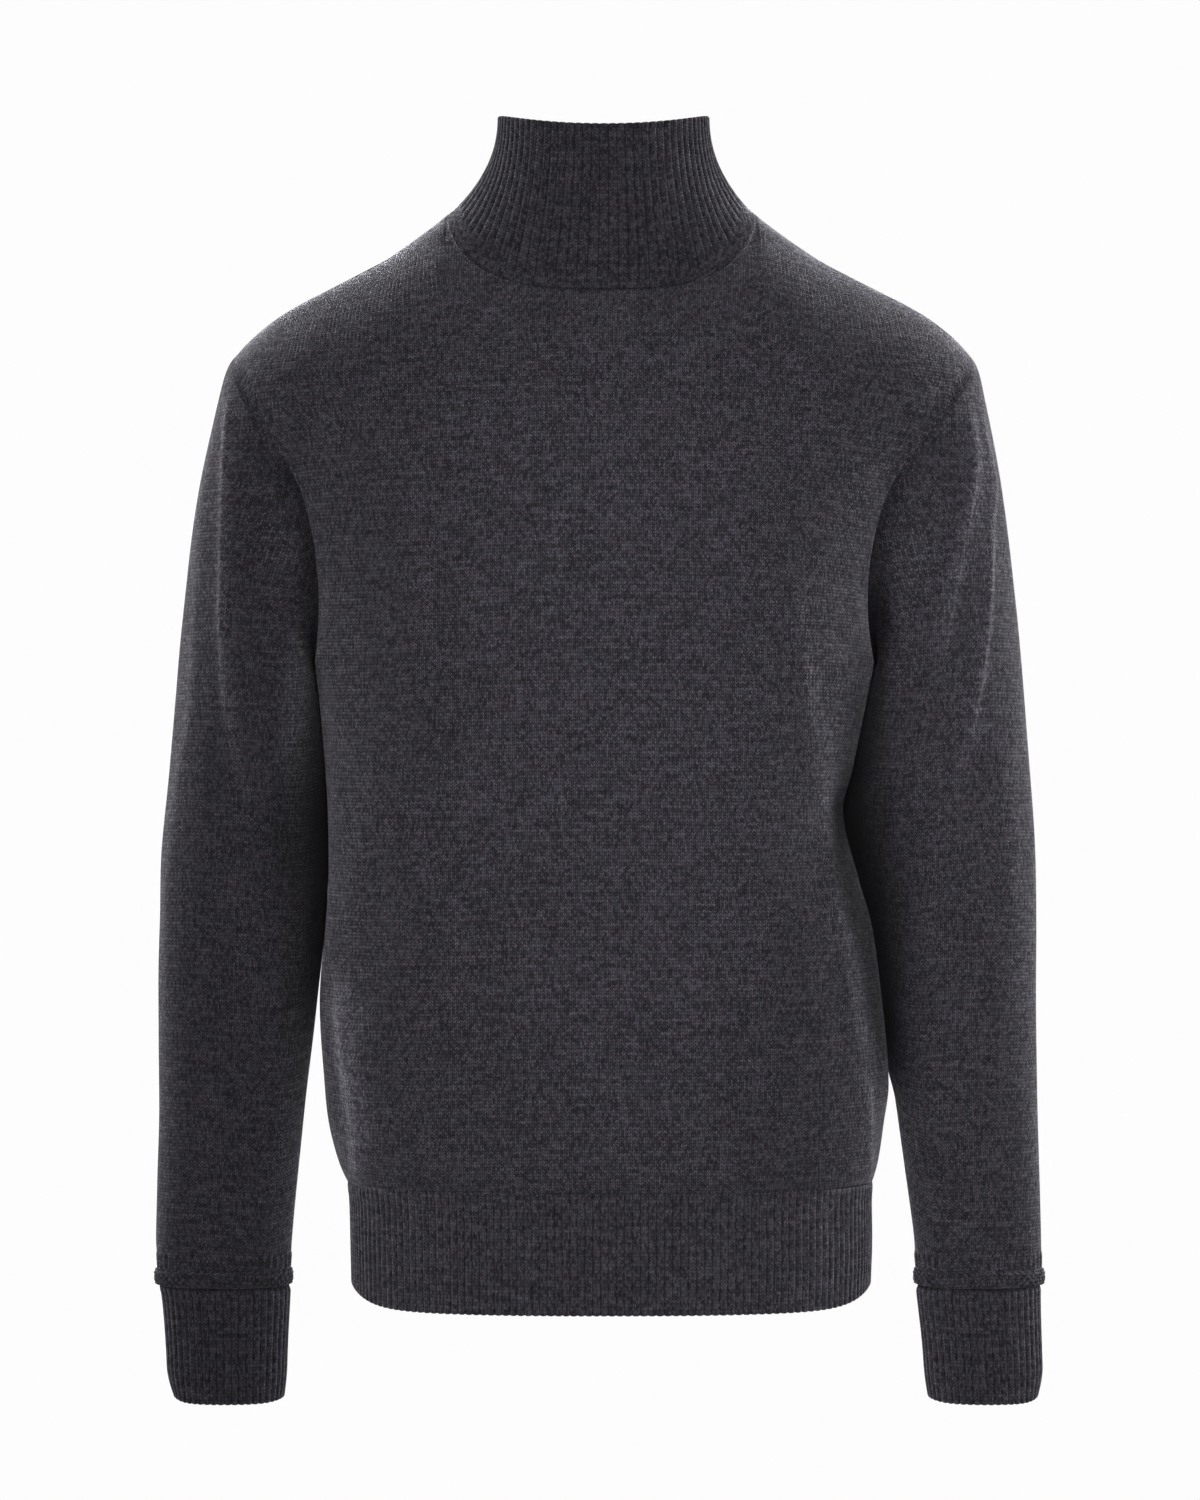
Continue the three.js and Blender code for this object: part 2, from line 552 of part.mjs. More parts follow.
// The outer face of a ribbed piece: steps between the seam points, alternately raised.
function ribbed(wall, fine, closed, ribs, raiseOf) {
  const many = 2 * ribs;
  const normals = gridNormals(fine, closed, 1);
  return fine.map((line, j) =>
    line.map((p, i) => {
      const at = i / many;
      const k = Math.floor(at);
      const w = wall.outer[0].length;
      const next = closed ? (k + 1) % w : Math.min(w - 1, k + 1);
      const t = at - k;
      const edgeRow = j === 0;
      const foot = wall.outer[j][k].clone().lerp(wall.outer[j][next], t);
      const place = edgeRow ? foot : p.clone();
      // Side edges keep the stand-off of the seam they lie on.
      if (!edgeRow && t === 0) place.copy(wall.outer[j][k]);
      const lean = wall.lean[j][k].clone().lerp(wall.lean[j][next], t).normalize();
      const out = normals[j][i].dot(lean) < 0 ? normals[j][i].clone().negate() : normals[j][i];
      const way = edgeRow || t === 0 ? lean : out;
      const { raise, rib } = raiseOf(j);
      return place.addScaledVector(way, raise + (i % 2 ? RIB_RISE * rib : 0));
    }),
  );
}

// ---- pieces ----
const panelTop = (i) => {
  const far = ACROSS - SHOULDER_STEPS;
  if (i < SHOULDER_STEPS || i > far) return "shoulder";
  return i > SHOULDER_STEPS && i < far ? "neck" : ["shoulder", "neck"];
};
const panelSide = (j) => {
  if (j < SIDE_STEPS) return "side";
  return j > SIDE_STEPS ? "arm" : ["side", "arm"];
};

const panels = ["front", "back"].map((face) => ({
  name: `${face}_panel`,
  kin: face,
  grid: panelGrid(face),
  closed: false,
  flip: face === "front" ? 1 : -1,
  low: () => "hem",
  top: panelTop,
  sides: panelSide,
}));

const sleeves = ["right", "left"].map((side) => ({
  name: `sleeve_${side}`,
  kin: `sleeve_${side}`,
  side,
  closed: true,
  flip: side === "right" ? -1 : 1,
  grid: SLEEVES[side].rings.map((_, k) =>
    Array.from({ length: ROUND }, (_, i) => sleevePoint(side, k, rad((360 * i) / ROUND))),
  ),
  low: () => `arm ${side}`,
  top: () => `cuff ${side}`,
}));

function cuffRing(side, row, count) {
  const { sign } = SLEEVES[side];
  return Array.from({ length: count }, (_, i) => {
    const a = rad((360 * i) / count);
    const s = Math.sin(a);
    const y = row.y - s * (s > 0 ? row.front : row.back);
    return V(sign * (row.x + row.wide * Math.cos(a)), y, row.z);
  });
}

const cuffTables = { right: CUFF_RIGHT, left: CUFF_LEFT };
const cuffs = ["right", "left"].map((side) => ({
  name: `cuff_${side}`,
  kin: `cuff_${side}`,
  side,
  closed: true,
  flip: side === "right" ? -1 : 1,
  grid: cuffTables[side].map((row) => cuffRing(side, row, ROUND)),
  low: () => `cuff ${side}`,
  fine: cuffTables[side].map((row) => cuffRing(side, row, ROUND * 2 * RIBS_PER_STEP.cuff)),
  ribs: RIBS_PER_STEP.cuff,
  raiseOf: (j) => ({ raise: 0, rib: j ? 1 : 0.4 }),
}));

// Collar columns go round the front from right to left, then back round behind.
function collarRing(up, per) {
  const line = [];
  for (let i = 0; i < NECK_STEPS * per; i += 1) {
    line.push(collarPoint("front", (2 * i) / (NECK_STEPS * per) - 1, up));
  }
  for (let i = 0; i < NECK_STEPS * per; i += 1) {
    line.push(collarPoint("back", 1 - (2 * i) / (NECK_STEPS * per), up));
  }
  return line;
}
const collar = {
  name: "collar",
  kin: "collar",
  closed: true,
  flip: 1,
  grid: COLLAR.map((row) => collarRing(row.up, 1)),
  low: () => "neck",
  fine: COLLAR.map((row) => collarRing(row.up, 2 * RIBS_PER_STEP.collar)),
  ribs: RIBS_PER_STEP.collar,
  raiseOf: (j) => COLLAR[j],
};

const hems = ["front", "back"].map((face) => ({
  name: `hem_rib_${face}`,
  kin: `hem ${face}`,
  closed: false,
  flip: face === "front" ? -1 : 1,
  grid: hemGrid(face, ACROSS),
  low: () => "hem",
  sides: () => "hem side",
  fine: hemGrid(face, ACROSS * 2 * RIBS_PER_STEP.hem),
  ribs: RIBS_PER_STEP.hem,
  raiseOf: (j) => ({ raise: 0, rib: j ? 1 : 0.4 }),
}));

const COLOURS = {
  front_panel: 0x38363b,
  back_panel: 0x38363b,
  sleeve_right: 0x36343a,
  sleeve_left: 0x36343a,
  collar: 0x302e33,
  hem_rib_front: 0x323035,
  hem_rib_back: 0x323035,
  cuff_right: 0x302e33,
  cuff_left: 0x302e33,
};

const pieces = [...panels, ...sleeves, collar, ...hems, ...cuffs];
pieces.forEach(joinSeams);

const group = new THREE.Group();
group.name = "mock_neck_sweater";
for (const piece of pieces) {
  const wall = wallOf(piece);
  const { closed, fine } = piece;
  const outer = fine ? ribbed(wall, fine, closed, piece.ribs, piece.raiseOf) : wall.outer;
  group.add(wallMesh(piece.name, outer, wall.inner, closed, COLOURS[piece.name]));
}

export default group;
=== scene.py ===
import math

import bpy
import numpy as np
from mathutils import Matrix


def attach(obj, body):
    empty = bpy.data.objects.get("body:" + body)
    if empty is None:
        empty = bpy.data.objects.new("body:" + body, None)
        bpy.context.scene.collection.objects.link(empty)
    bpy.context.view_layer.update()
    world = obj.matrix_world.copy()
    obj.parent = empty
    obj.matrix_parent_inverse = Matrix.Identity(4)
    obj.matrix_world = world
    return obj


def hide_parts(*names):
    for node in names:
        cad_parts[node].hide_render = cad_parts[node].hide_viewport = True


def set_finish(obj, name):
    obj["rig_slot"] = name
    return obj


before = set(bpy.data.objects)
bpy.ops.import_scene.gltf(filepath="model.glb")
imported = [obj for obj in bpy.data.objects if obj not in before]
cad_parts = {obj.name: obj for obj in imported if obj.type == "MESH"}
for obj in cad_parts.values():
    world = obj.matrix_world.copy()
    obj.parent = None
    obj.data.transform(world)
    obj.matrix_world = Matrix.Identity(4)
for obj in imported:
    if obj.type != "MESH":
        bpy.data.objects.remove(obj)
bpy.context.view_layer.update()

# ---- camera: a long lens straight in front, level with the middle of the sweater ----
cam = bpy.data.objects.new("camera", bpy.data.cameras.new("camera"))
bpy.context.scene.collection.objects.link(cam)
cam.data.lens = 120
cam.data.sensor_width = 36
cam.location = (-0.0025, -3.17, -0.335)
cam.rotation_euler = (math.radians(90), 0, 0)
bpy.context.scene.camera = cam

# ---- driving sizes, as in the CAD source ----
MM = 0.001
WALL = 2.4
NECK = dict(right=98, left=95, front=82, back=70, high=3, dip=53.6, back_rise=5, full=0.5)
MOUTH = dict(right=66.5, left=66, half=60, shift=-6, side=65, front=54, back=64, round=1.6)
# Power by which the collar flares out to its foot.
FLARE = 2.1
HEM = dict(top=-607, bottom=-682, side_lift=11)
# Height above which the body arches in, and power of its rounded outline seen from above.
ARCH_Z = -220
SQUARE = 2.6
# Steps of the CAD panels' grid: across the neck, along a shoulder, up a side, up an armhole.
NECK_STEPS, SHOULDER_STEPS, SIDE_STEPS, ARM_STEPS = 13, 9, 11, 11
ACROSS = NECK_STEPS + 2 * SHOULDER_STEPS
# Mean half width and half depth of the body, and half sizes of a wrist, to space columns by.
BODY_MEAN = (166, 106)
WRIST_MEAN = (42, 30)
WRIST_Z = -672


def table(columns, *rows):
    data = np.array(rows, float)
    return {name: data[:, k] for k, name in enumerate(columns.split())}


# Half width to each side, and depth in front and behind, at each height.
TORSO = table(
    "z right left front back",
    (-87, 246, 245, 126, 116),
    (-120, 225, 218, 126, 116),
    (-143, 214, 204, 126, 116),
    (-170, 202.5, 191, 126, 116),
    (-197, 193, 179.5, 126, 116),
    (-223, 187.5, 173.6, 126, 116),
    (-246, 184.2, 171, 126, 116),
    (-264, 182.4, 169.5, 125.5, 115.5),
    (-280, 182.4, 170, 124, 114),
    (-300, 180, 166.5, 122, 112),
    (-347, 176, 157, 118, 108),
    (-374, 174.5, 150.8, 116, 106),
    (-417, 174, 161, 116, 105),
    (-445, 175.8, 169, 118, 106),
    (-493, 179.4, 175.5, 120, 108),
    (-545, 176.3, 179.5, 121, 109),
    (-570, 173.5, 176.3, 120, 108),
    (-595, 167, 172.6, 115, 105),
    (-607, 162, 169.6, 109, 100),
)
HEM_RIB = table(
    "z right left front back",
    (-607, 162, 169.6, 109, 100),
    (-619, 160.4, 168.6, 106.5, 98),
    (-650, 159.6, 168.8, 106, 97.5),
    (-682, 159, 168, 105, 97),
)
# Height of the shoulder line, which is alike on both sides.
SHOULDER = table(
    "x z",
    (95, 3), (110, -7.5), (135, -24), (154, -34), (175, -44.5),
    (192, -53), (207, -62), (222, -74), (234, -87),
)
# Rings of a sleeve, from armhole to cuff: height and place of their outer and inner points,
# depth in front and behind, middle, and how far they bow in between.
SLEEVE = dict(
    right=table(
        "zo xo zi xi front back mid bow",
        (-87, 234.5, -280, 182.4, 60, 56, 0, 23),
        (-104, 240.6, -283, 185.4, 65.5, 61, 0, 18),
        (-130, 247.5, -291, 185, 69, 65, 1, 11),
        (-165, 255, -307, 181.2, 70.5, 66, 2, 5),
        (-205, 261, -329, 179, 70, 66, 3, 2),
        (-250, 266.4, -356, 177, 68, 64, 4, 0),
        (-298, 271.4, -388, 175.9, 64, 61, 4, 0),
        (-345, 275.5, -420, 176, 59, 56, 3, 0),
        (-395, 279.8, -455, 178.4, 53, 51, 1, 0),
        (-445, 280, -490, 181.6, 49, 48, -2, 0),
        (-500, 281, -530, 185.3, 45.5, 44.5, -6, 0),
        (-555, 281.4, -571, 189.6, 41, 40.5, -11, 0),
        (-605, 282, -612, 194.3, 37, 36, -15, 0),
        (-640, 282, -641, 197.2, 33.5, 33, -17.5, 0),
        (-653, 281.2, -653, 197.8, 31.5, 31, -18, 0),
        (-661, 281, -661, 198, 31, 30.5, -18.5, 0),
        (-663, 282.6, -663, 196.6, 32.6, 32.1, -18.5, 0),
        (-669.5, 282.4, -669.5, 196.8, 32.4, 31.9, -18.8, 0),
        (-672, 280.4, -672, 198, 30.6, 30.1, -19, 0),
    ),
    left=table(
        "zo xo zi xi front back mid bow",
        (-87, 233, -280, 170, 60, 56, 0, 28),
        (-104, 238.4, -283, 173.2, 65.5, 61, 0, 23),
        (-130, 244.6, -291, 172, 69, 65, 1, 15),
        (-165, 251, -307, 168.4, 70, 66, 2, 8),
        (-205, 256.8, -328, 163.6, 68, 65, 3, 3),
        (-250, 261.7, -352, 158.2, 64, 61, 4, 0),
        (-298, 266, -379, 154.8, 59, 57, 4, 0),
        (-345, 269.4, -408, 160.2, 56, 54, 3, 0),
        (-395, 272.6, -446, 171, 52, 51, 1, 0),
        (-445, 273.6, -485, 177, 49, 48, -2, 0),
        (-500, 273.4, -528, 181, 45.5, 44.5, -6, 0),
        (-555, 273.4, -569, 186.4, 41, 40.5, -11, 0),
        (-605, 274.2, -611, 191.6, 37, 36, -15, 0),
        (-640, 274.8, -641, 195.4, 33.5, 33, -17.5, 0),
        (-653, 275.2, -653, 196.2, 31.5, 31, -18, 0),
        (-661, 275.4, -661, 196.8, 31, 30.5, -18.5, 0),
        (-663, 277, -663, 195.6, 32.6, 32.1, -18.5, 0),
        (-669.5, 277, -669.5, 195.8, 32.4, 31.9, -18.8, 0),
        (-672, 275.2, -672, 197.4, 30.6, 30.1, -19, 0),
    ),
)
# Middle of a cuff, its half width and its depth in front and behind, at each height.
CUFF = dict(
    right=table(
        "z x y wide front back",
        (-672, 239.2, -19, 41.2, 30.6, 30.1),
        (-677, 238.2, -19.2, 40.1, 28.2, 28.2),
        (-708, 237.5, -20.6, 37.9, 27, 27),
        (-744, 237.2, -22, 36.6, 26, 26),
    ),
    left=table(
        "z x y wide front back",
        (-672, 236.3, -19, 38.9, 30.6, 30.1),
        (-677, 236, -19.2, 38.5, 28.2, 28.2),
        (-708, 238, -20.6, 37.1, 27, 27),
        (-744, 239.8, -22, 36.5, 26, 26),
    ),
)
# How much the dip beside the upper armhole is filled at each height.
FILL = table(
    "z much",
    (-87, 0), (-96, 5.5), (-110, 9), (-125, 11.5), (-140, 8), (-155, 4), (-170, 1.5), (-182, 0),
)
SIGN = dict(right=-1, left=1)
FACING = dict(front=-1, back=1)

# ---- sizes that only the knit has ----
# Width and height of one stitch.
WALE, COURSE = 2.67, 2.07
# Ribs round the collar, across one side of the hem and round a cuff, and columns to each.
RIBS = dict(collar=78, hem=93, cuff=44)
PER_RIB = dict(collar=8, hem=6, cuff=8)
# Columns and rows of a panel to each step of the CAD grid.
PANEL_COLUMNS, PANEL_ROWS = 6, 8
# Height of a rib above its valleys, and how far these lie below the wall.
RIB_HIGH = 1.1
VALLEY = dict(collar=0.3, hem=0.4, cuff=0.4)
# Half width of the groove along a seam.
GROOVE_WIDE = 1.2
# Last ring of a cuff; the rolled edge adds half a wall.
CUFF_END = -742.8
# Plain knit rises a little beside its seams, and is wavy further away from them.
STAND_OFF, STAND_OFF_WIDE, CALM_WIDE = 0.3, 2, 26
SEEDS = dict(front=11, back=12, right=21, left=22)
WAVES = (150, 110, 78, 60, 46, 34)
WAVE_RISE = 0.36
FULL_TURN = 6.283
# Rows of points round a rolled edge, and how much knit, in rows, lies between two of them.
ROLL_ROWS, ROLL_STEP = 4, 0.4
# Where a sleeve's inner back leans on the body: heights, how far it presses in, and where
# round the sleeve, in degrees from its outer side over the front.
LEAN = dict(top=-276, full=-286, right=-424, left=-556, fade=26, press=2.0, turn=212, wide=34)


def ridge(*path, rise, wide, sharp=2, glow=0):
    x, z = np.array(path, float).T
    return dict(x=x, z=z, rise=rise, wide=wide, sharp=sharp, glow=glow)


# Folds: places (out from the middle, up) that each passes through from top to bottom, its
# rise, half its width, its sharpness and how much its crest is lightened, a painted
# highlight. On the panels the places are measured towards the wearer's left. Fronts follow
# the photograph; backs are like them.
FOLDS = dict(
    sleeve_right_front=[
        ridge((229, -96), (233.6, -116), (236, -180), (237.4, -249), (236.4, -277), (233.6, -308),
              (228, -342), (220, -372), rise=2.4, wide=2.8, sharp=1.6, glow=0.9),
        ridge((240.5, -130), (249.2, -172), (253.6, -229), (259.2, -314), (268, -366),
              (273, -432), (274, -560), rise=1.4, wide=4.6, sharp=1.7, glow=0.35),
        ridge((214, -240), (212, -300), (205, -360), (200, -410), rise=1.1, wide=9),
        ridge((246, -400), (243, -470), (246, -560), (244, -630), rise=0.8, wide=9),
        ridge((206, -420), (212, -480), (210, -560), rise=0.8, wide=8),
    ],
    sleeve_right_back=[
        ridge((224, -110), (229, -170), (231, -240), (225, -330), rise=2.2, wide=3.2, sharp=1.5,
              glow=0.4),
        ridge((250, -190), (256, -280), (262, -380), rise=1.2, wide=6, sharp=1.8),
        ridge((212, -300), (216, -380), (226, -470), rise=1.4, wide=9),
        ridge((250, -430), (244, -520), (240, -610), rise=0.9, wide=9),
    ],
    sleeve_left_front=[
        ridge((225, -112), (229.9, -138), (231, -156), (227.4, -181), (219.9, -215),
              (213.1, -255), (209, -285), rise=2.4, wide=3.0, sharp=1.5, glow=0.55),
        ridge((234, -118), (238.6, -144), (243, -167), (241, -192), (238.6, -249), (235.5, -277),
              (231, -308), (227, -328), (221, -360), rise=2.4, wide=3.0, sharp=1.5, glow=0.5),
        ridge((216, -300), (210, -350), (204, -400), rise=1.2, wide=8),
        ridge((250, -320), (254, -400), (252, -480), rise=0.9, wide=9),
        ridge((232, -420), (238, -500), (236, -600), rise=0.8, wide=9),
        ridge((205, -450), (209, -520), (206, -590), rise=0.8, wide=8),
    ],
    sleeve_left_back=[
        ridge((226, -112), (231, -170), (229, -240), (221, -330), rise=2.2, wide=3.2, sharp=1.5,
              glow=0.4),
        ridge((206, -230), (203, -300), (208, -380), rise=1.6, wide=8),
        ridge((252, -240), (256, -330), (250, -420), rise=1.1, wide=8),
        ridge((226, -400), (236, -480), (238, -600), rise=0.9, wide=9),
    ],
    body_front=[
        ridge((110, -215), (115, -247), (124.8, -313), (134, -374), (141, -430), (150.5, -482),
              (159.7, -548), (164.6, -586), rise=2.6, wide=8, sharp=1.6, glow=0.08),
        ridge((162, -540), (163.5, -575), (165, -606), rise=1.8, wide=2.8, sharp=1.5, glow=0.7),
        ridge((-163, -478), (-159.5, -525), (-154, -561), (-152.5, -604), rise=3.2, wide=5,
              sharp=1.6, glow=1.5),
        ridge((-140, -330), (-150, -400), (-161, -470), rise=1.4, wide=9),
        ridge((-176, -200), (-171, -260), (-166, -330), (-164, -390), rise=1.2, wide=7),
        ridge((162, -190), (158, -240), (150, -300), rise=1.0, wide=8),
        ridge((60, -430), (76, -510), (84, -600), rise=0.8, wide=17),
        ridge((-70, -400), (-62, -500), (-72, -600), rise=0.7, wide=18),
        ridge((-20, -120), (-34, -190), (-28, -260), rise=0.6, wide=18),
    ],
    body_back=[
        ridge((-112, -230), (-128, -360), (-144, -480), (-156, -590), rise=3.2, wide=10,
              sharp=1.6),
        ridge((158, -470), (154, -530), (156, -604), rise=2.8, wide=6, sharp=1.6, glow=0.6),
        ridge((130, -330), (142, -420), (152, -500), rise=1.4, wide=10),
        ridge((40, -90), (16, -140), (-30, -190), rise=0.9, wide=16),
        ridge((-70, -430), (-56, -520), (-50, -600), rise=1.0, wide=16),
        ridge((66, -400), (74, -500), (84, -590), rise=1.0, wide=15),
    ],
)

# Painted shade: where a sleeve lies close to the body little light comes in, so the cloth
# is drawn darker. A row gives, at height z, how dark it is there and how far that reaches from the
# side of the piece.
SHADE = dict(
    sleeve_right=table(
        "z dark wide",
        (-235, 0.3, 4), (-268, 0.6, 5), (-304, 0.8, 8), (-341, 0.9, 16), (-379, 0.97, 28),
        (-416, 0.97, 24), (-453, 0.97, 20), (-491, 0.85, 17), (-528, 0.4, 17), (-600, 0, 14)),
    sleeve_left=table(
        "z dark wide",
        (-225, 0.4, 8), (-255, 0.8, 10), (-279, 0.85, 11), (-304, 0.9, 17), (-341, 0.97, 23),
        (-379, 0.97, 25), (-416, 0.95, 22), (-453, 0.96, 17), (-491, 0.96, 15), (-528, 0.92, 13),
        (-565, 0.2, 10), (-600, 0, 10)),
    body_right=table("z dark wide", (-420, 0, 4), (-453, 0.3, 3), (-491, 0.5, 4), (-515, 0, 4)),
    body_left=table(
        "z dark wide",
        (-250, 0, 18), (-304, 0.5, 17), (-341, 0.62, 11), (-379, 0.9, 13), (-400, 0.8, 21),
        (-416, 0.76, 24), (-453, 0.74, 18), (-491, 0.72, 16), (-528, 0.6, 12), (-560, 0, 10)),
)
# Painted shade: how light each cuff and the front of each sleeve is drawn; the right one
# lies away from the main light.
LIT = dict(right=0.74, left=0.98)
# Painted shade: how light the collar is drawn.
COLLAR_LIT = 0.84
# The painted highlight on a fold's crest covers a wider strip than its rise.
GLOW_WIDER = 1.5


# ---- small helpers ----
def mix(a, b, t):
    return a + (b - a) * t


def ease(a, b, x):
    """0 at a and 1 at b, with a soft start and a soft end."""
    t = np.clip((np.asarray(x, float) - a) / (b - a), 0, 1)
    return t * t * (3 - 2 * t)


def bell(x, wide, power=2):
    """1 at zero, falling away on both sides."""
    return np.exp(-((x / wide) ** power))


def unit(v):
    return v / np.maximum(np.linalg.norm(v, axis=-1, keepdims=True), 1e-9)


def spline(xs, ys, at):
    """Smooth value through the rows of a table, the same curve as the CAD source uses."""
    if xs[0] > xs[-1]:
        xs, ys = xs[::-1], ys[::-1]
    at = np.clip(np.asarray(at, float), xs[0], xs[-1])
    slope = np.empty_like(ys)
    slope[1:-1] = (ys[2:] - ys[:-2]) / (xs[2:] - xs[:-2])
    slope[0] = (ys[1] - ys[0]) / (xs[1] - xs[0])
    slope[-1] = (ys[-1] - ys[-2]) / (xs[-1] - xs[-2])
    i = np.clip(np.searchsorted(xs, at, "right") - 1, 0, len(xs) - 2)
    h = xs[i + 1] - xs[i]
    t = (at - xs[i]) / h
    t2, t3 = t * t, t * t * t
    p = ys[i] * (2 * t3 - 3 * t2 + 1) + ys[i + 1] * (3 * t2 - 2 * t3)
    return p + h * (slope[i] * (t3 - 2 * t2 + t) + slope[i + 1] * (t3 - t2))


def xyz(x, y, z):
    return np.stack(np.broadcast_arrays(x, y, z), -1).astype(float)


# ---- grids of points ----
# Rows run along a piece and columns across or round it. A closed grid ends with its first
# column once more.
def steps(grid, axis, closed=False):
    """Change from point to point along a grid."""
    if axis == 1 and closed:
        ring = grid[:, :-1]
        d = (np.roll(ring, -1, 1) - np.roll(ring, 1, 1)) / 2
        return np.concatenate([d, d[:, :1]], 1)
    return np.gradient(grid, axis=axis)


def normals(grid, closed, turn):
    return unit(np.cross(steps(grid, 1, closed), steps(grid, 0)) * turn)


def summed(d, axis):
    """Running sum along an axis, from zero."""
    return np.concatenate([np.zeros_like(np.take(d, [0], axis)), np.cumsum(d, axis)], axis)


def between(a, axis):
    """Means of neighbours along an axis."""
    size = a.shape[axis]
    return (np.take(a, range(1, size), axis) + np.take(a, range(size - 1), axis)) / 2


def reach(grid, axis, start=0):
    """Distance along a line, or along a grid's rows or columns, from one of its points."""
    line = summed(np.linalg.norm(np.diff(grid, axis=axis), axis=-1), axis)
    return np.abs(line - np.take(line, [start], axis))


def from_edge(grid, axis):
    """Distance along rows or columns from the nearer end."""
    return np.minimum(reach(grid, axis), reach(grid, axis, grid.shape[axis] - 1))


# ---- relief and tone of the cloth ----
def fold(name, across, along, part="rise"):
    """Rise, or painted highlight (glow), of the ridges of one side of a piece; each fades in and
    out.
    """
    total = 0
    for f in FOLDS[name]:
        t = (along - f["z"][0]) / (f["z"][-1] - f["z"][0])
        span = ease(-0.12, 0.2, t) * ease(1.1, 0.72, t)
        wide = f["wide"] * (GLOW_WIDER if part == "glow" else 1)
        off = np.abs(across - spline(f["z"], f["x"], along))
        total = total + f[part] * span * bell(off, wide, f["sharp"])
    return total


def uneven(p, seed):
    """Small lasting waviness of soft knit, the same on every run."""
    rng = np.random.default_rng(seed)
    total = 0
    for length in WAVES:
        way = unit(rng.normal(size=3) * (1, 1, 0.55))
        phase = p @ way * (FULL_TURN / length) + rng.uniform(0, FULL_TURN)
        total = total + length / WAVES[0] * np.sin(phase)
    return total * WAVE_RISE


def soft_rise(grid, seam, seed):
    """Relief of plain knit, from how far each point is from a seam."""
    stand_off = STAND_OFF * (1 - bell(seam, STAND_OFF_WIDE))
    return stand_off + uneven(grid, seed) * (1 - bell(seam, CALM_WIDE))


def shade(name, d, z, sharp=2.2):
    """Painted shade: share of the light that reaches a point d from the side that faces the
    crevice.
    """
    rows = SHADE[name]
    wide = spline(rows["z"], rows["wide"], z)
    return 1 - spline(rows["z"], rows["dark"], z) * bell(np.maximum(0, d), wide, sharp)


def tucked(far, much=0.7, wide=GROOVE_WIDE):
    """The last millimetre of a piece turns down into its seam; painted shade makes it darker."""
    return 1 - much * bell(far, wide)


def neck_tuck(far, side):
    """The same painted shade at the neck, where it shows in the middle and less at the sides."""
    return tucked(far, mix(0.4, 0.2, side))


def away(x, z):
    """Painted shade: the panels' sides, and the wearer's lower left, are darker, as they lie a
    little away from the light.
    """
    return 1 - 0.08 * ease(50, 130, np.abs(x)) - 0.1 * ease(40, 130, x) * ease(-380, -540, z)


def seam_line(far, z):
    """Painted shade: the upper part of an armhole seam shows as a short thin dark line."""
    return 1 - 0.4 * bell(far, 1.0) * ease(-150, -134, z) * ease(-98, -108, z)


# ---- sleeves ----
def ring_turns(count):
    """Angles that space points evenly round a sleeve end."""
    a = np.linspace(0, 2 * np.pi, 4001)
    p = np.stack([WRIST_MEAN[0] * np.cos(a), WRIST_MEAN[1] * np.sin(a)], -1)
    s = reach(p, 0)
    return np.interp(np.linspace(0, s[-1], count + 1), s, a)


def sleeve_points(side, ring, angle):
    """Points of a sleeve. ring counts the rows of its table; angle is 0 at the outer side,
    a quarter turn in front and half a turn at the underarm."""
    rows = SLEEVE[side]
    index = np.arange(len(rows["zo"]), dtype=float)
    r = {name: spline(index, rows[name], ring) for name in rows}
    c, s = np.cos(angle), np.sin(angle)
    z = (r["zo"] + r["zi"]) / 2 + c * (r["zo"] - r["zi"]) / 2
    bow = r["bow"] * np.abs(s) ** (2 + 2 * ease(-0.1, 0.5, c))
    out = (r["xo"] + r["xi"]) / 2 + c * (r["xo"] - r["xi"]) / 2 - bow
    y = r["mid"] - s * np.where(s > 0, r["front"], r["back"])
    return xyz(SIGN[side] * out, y, z)


def lean_in(side, p, angle):
    """Move that lays the inner back of a sleeve on the body, from below the underarm down
    to where light shows between them in the photograph."""
    z = p[..., 2]
    inner = p[..., 0].min(1) if side == "left" else -p[..., 0].max(1)
    gap = inner[:, None] - spline(TORSO["z"], TORSO[side], z) + LEAN["press"]
    end = LEAN[side]
    t = ease(LEAN["top"], LEAN["full"], z) * ease(end, end + LEAN["fade"], z)
    much = gap * t * bell(np.degrees(angle) - LEAN["turn"], LEAN["wide"])
    return xyz(-SIGN[side] * much, 0, 0)


# ---- neck: s runs from -1 at the right high shoulder point to 1 at the left one ----
def neck_seam(face, s):
    half = np.where(s < 0, NECK["right"], NECK["left"])
    x = half * np.sin(np.pi / 2 * s)
    c = np.maximum(np.cos(np.pi / 2 * s), 0)
    if face == "front":
        flat = np.sqrt(1 - np.minimum(1, np.abs(x / half)) ** 3)
        return xyz(x, -NECK["front"] * c ** NECK["full"], NECK["high"] - NECK["dip"] * flat)
    return xyz(x, NECK["back"] * c, NECK["high"] + NECK["back_rise"] * c)


def neck_mouth(face, s):
    """The free edge of the collar."""
    half = np.where(s < 0, MOUTH["right"], MOUTH["left"])
    c = np.maximum(np.cos(np.pi / 2 * s), 0)
    y = MOUTH["shift"] + FACING[face] * MOUTH["half"] * c
    z = mix(MOUTH["side"], MOUTH[face], c ** MOUTH["round"])
    return xyz(half * np.sin(np.pi / 2 * s), y, z)


def collar_points(face, s, up):
    a, b = neck_seam(face, s), neck_mouth(face, s)
    flare = (1 - up) ** FLARE
    x, y = (mix(b[..., k], a[..., k], flare) for k in (0, 1))
    return xyz(x, y, mix(a[..., 2], b[..., 2], up))


def collar_surface(place, up):
    """Points of the collar. place is -1 to 1 across the front and 1 to 3 behind."""
    place, up = np.broadcast_arrays(place, up)
    s = np.where(place > 1, 2 - place, place)
    s = np.where(s < -1, -2 - s, s)
    back = (place > 1) | (place < -1)
    front = collar_points("front", s, up)
    return np.where(back[..., None], collar_points("back", s, up), front)


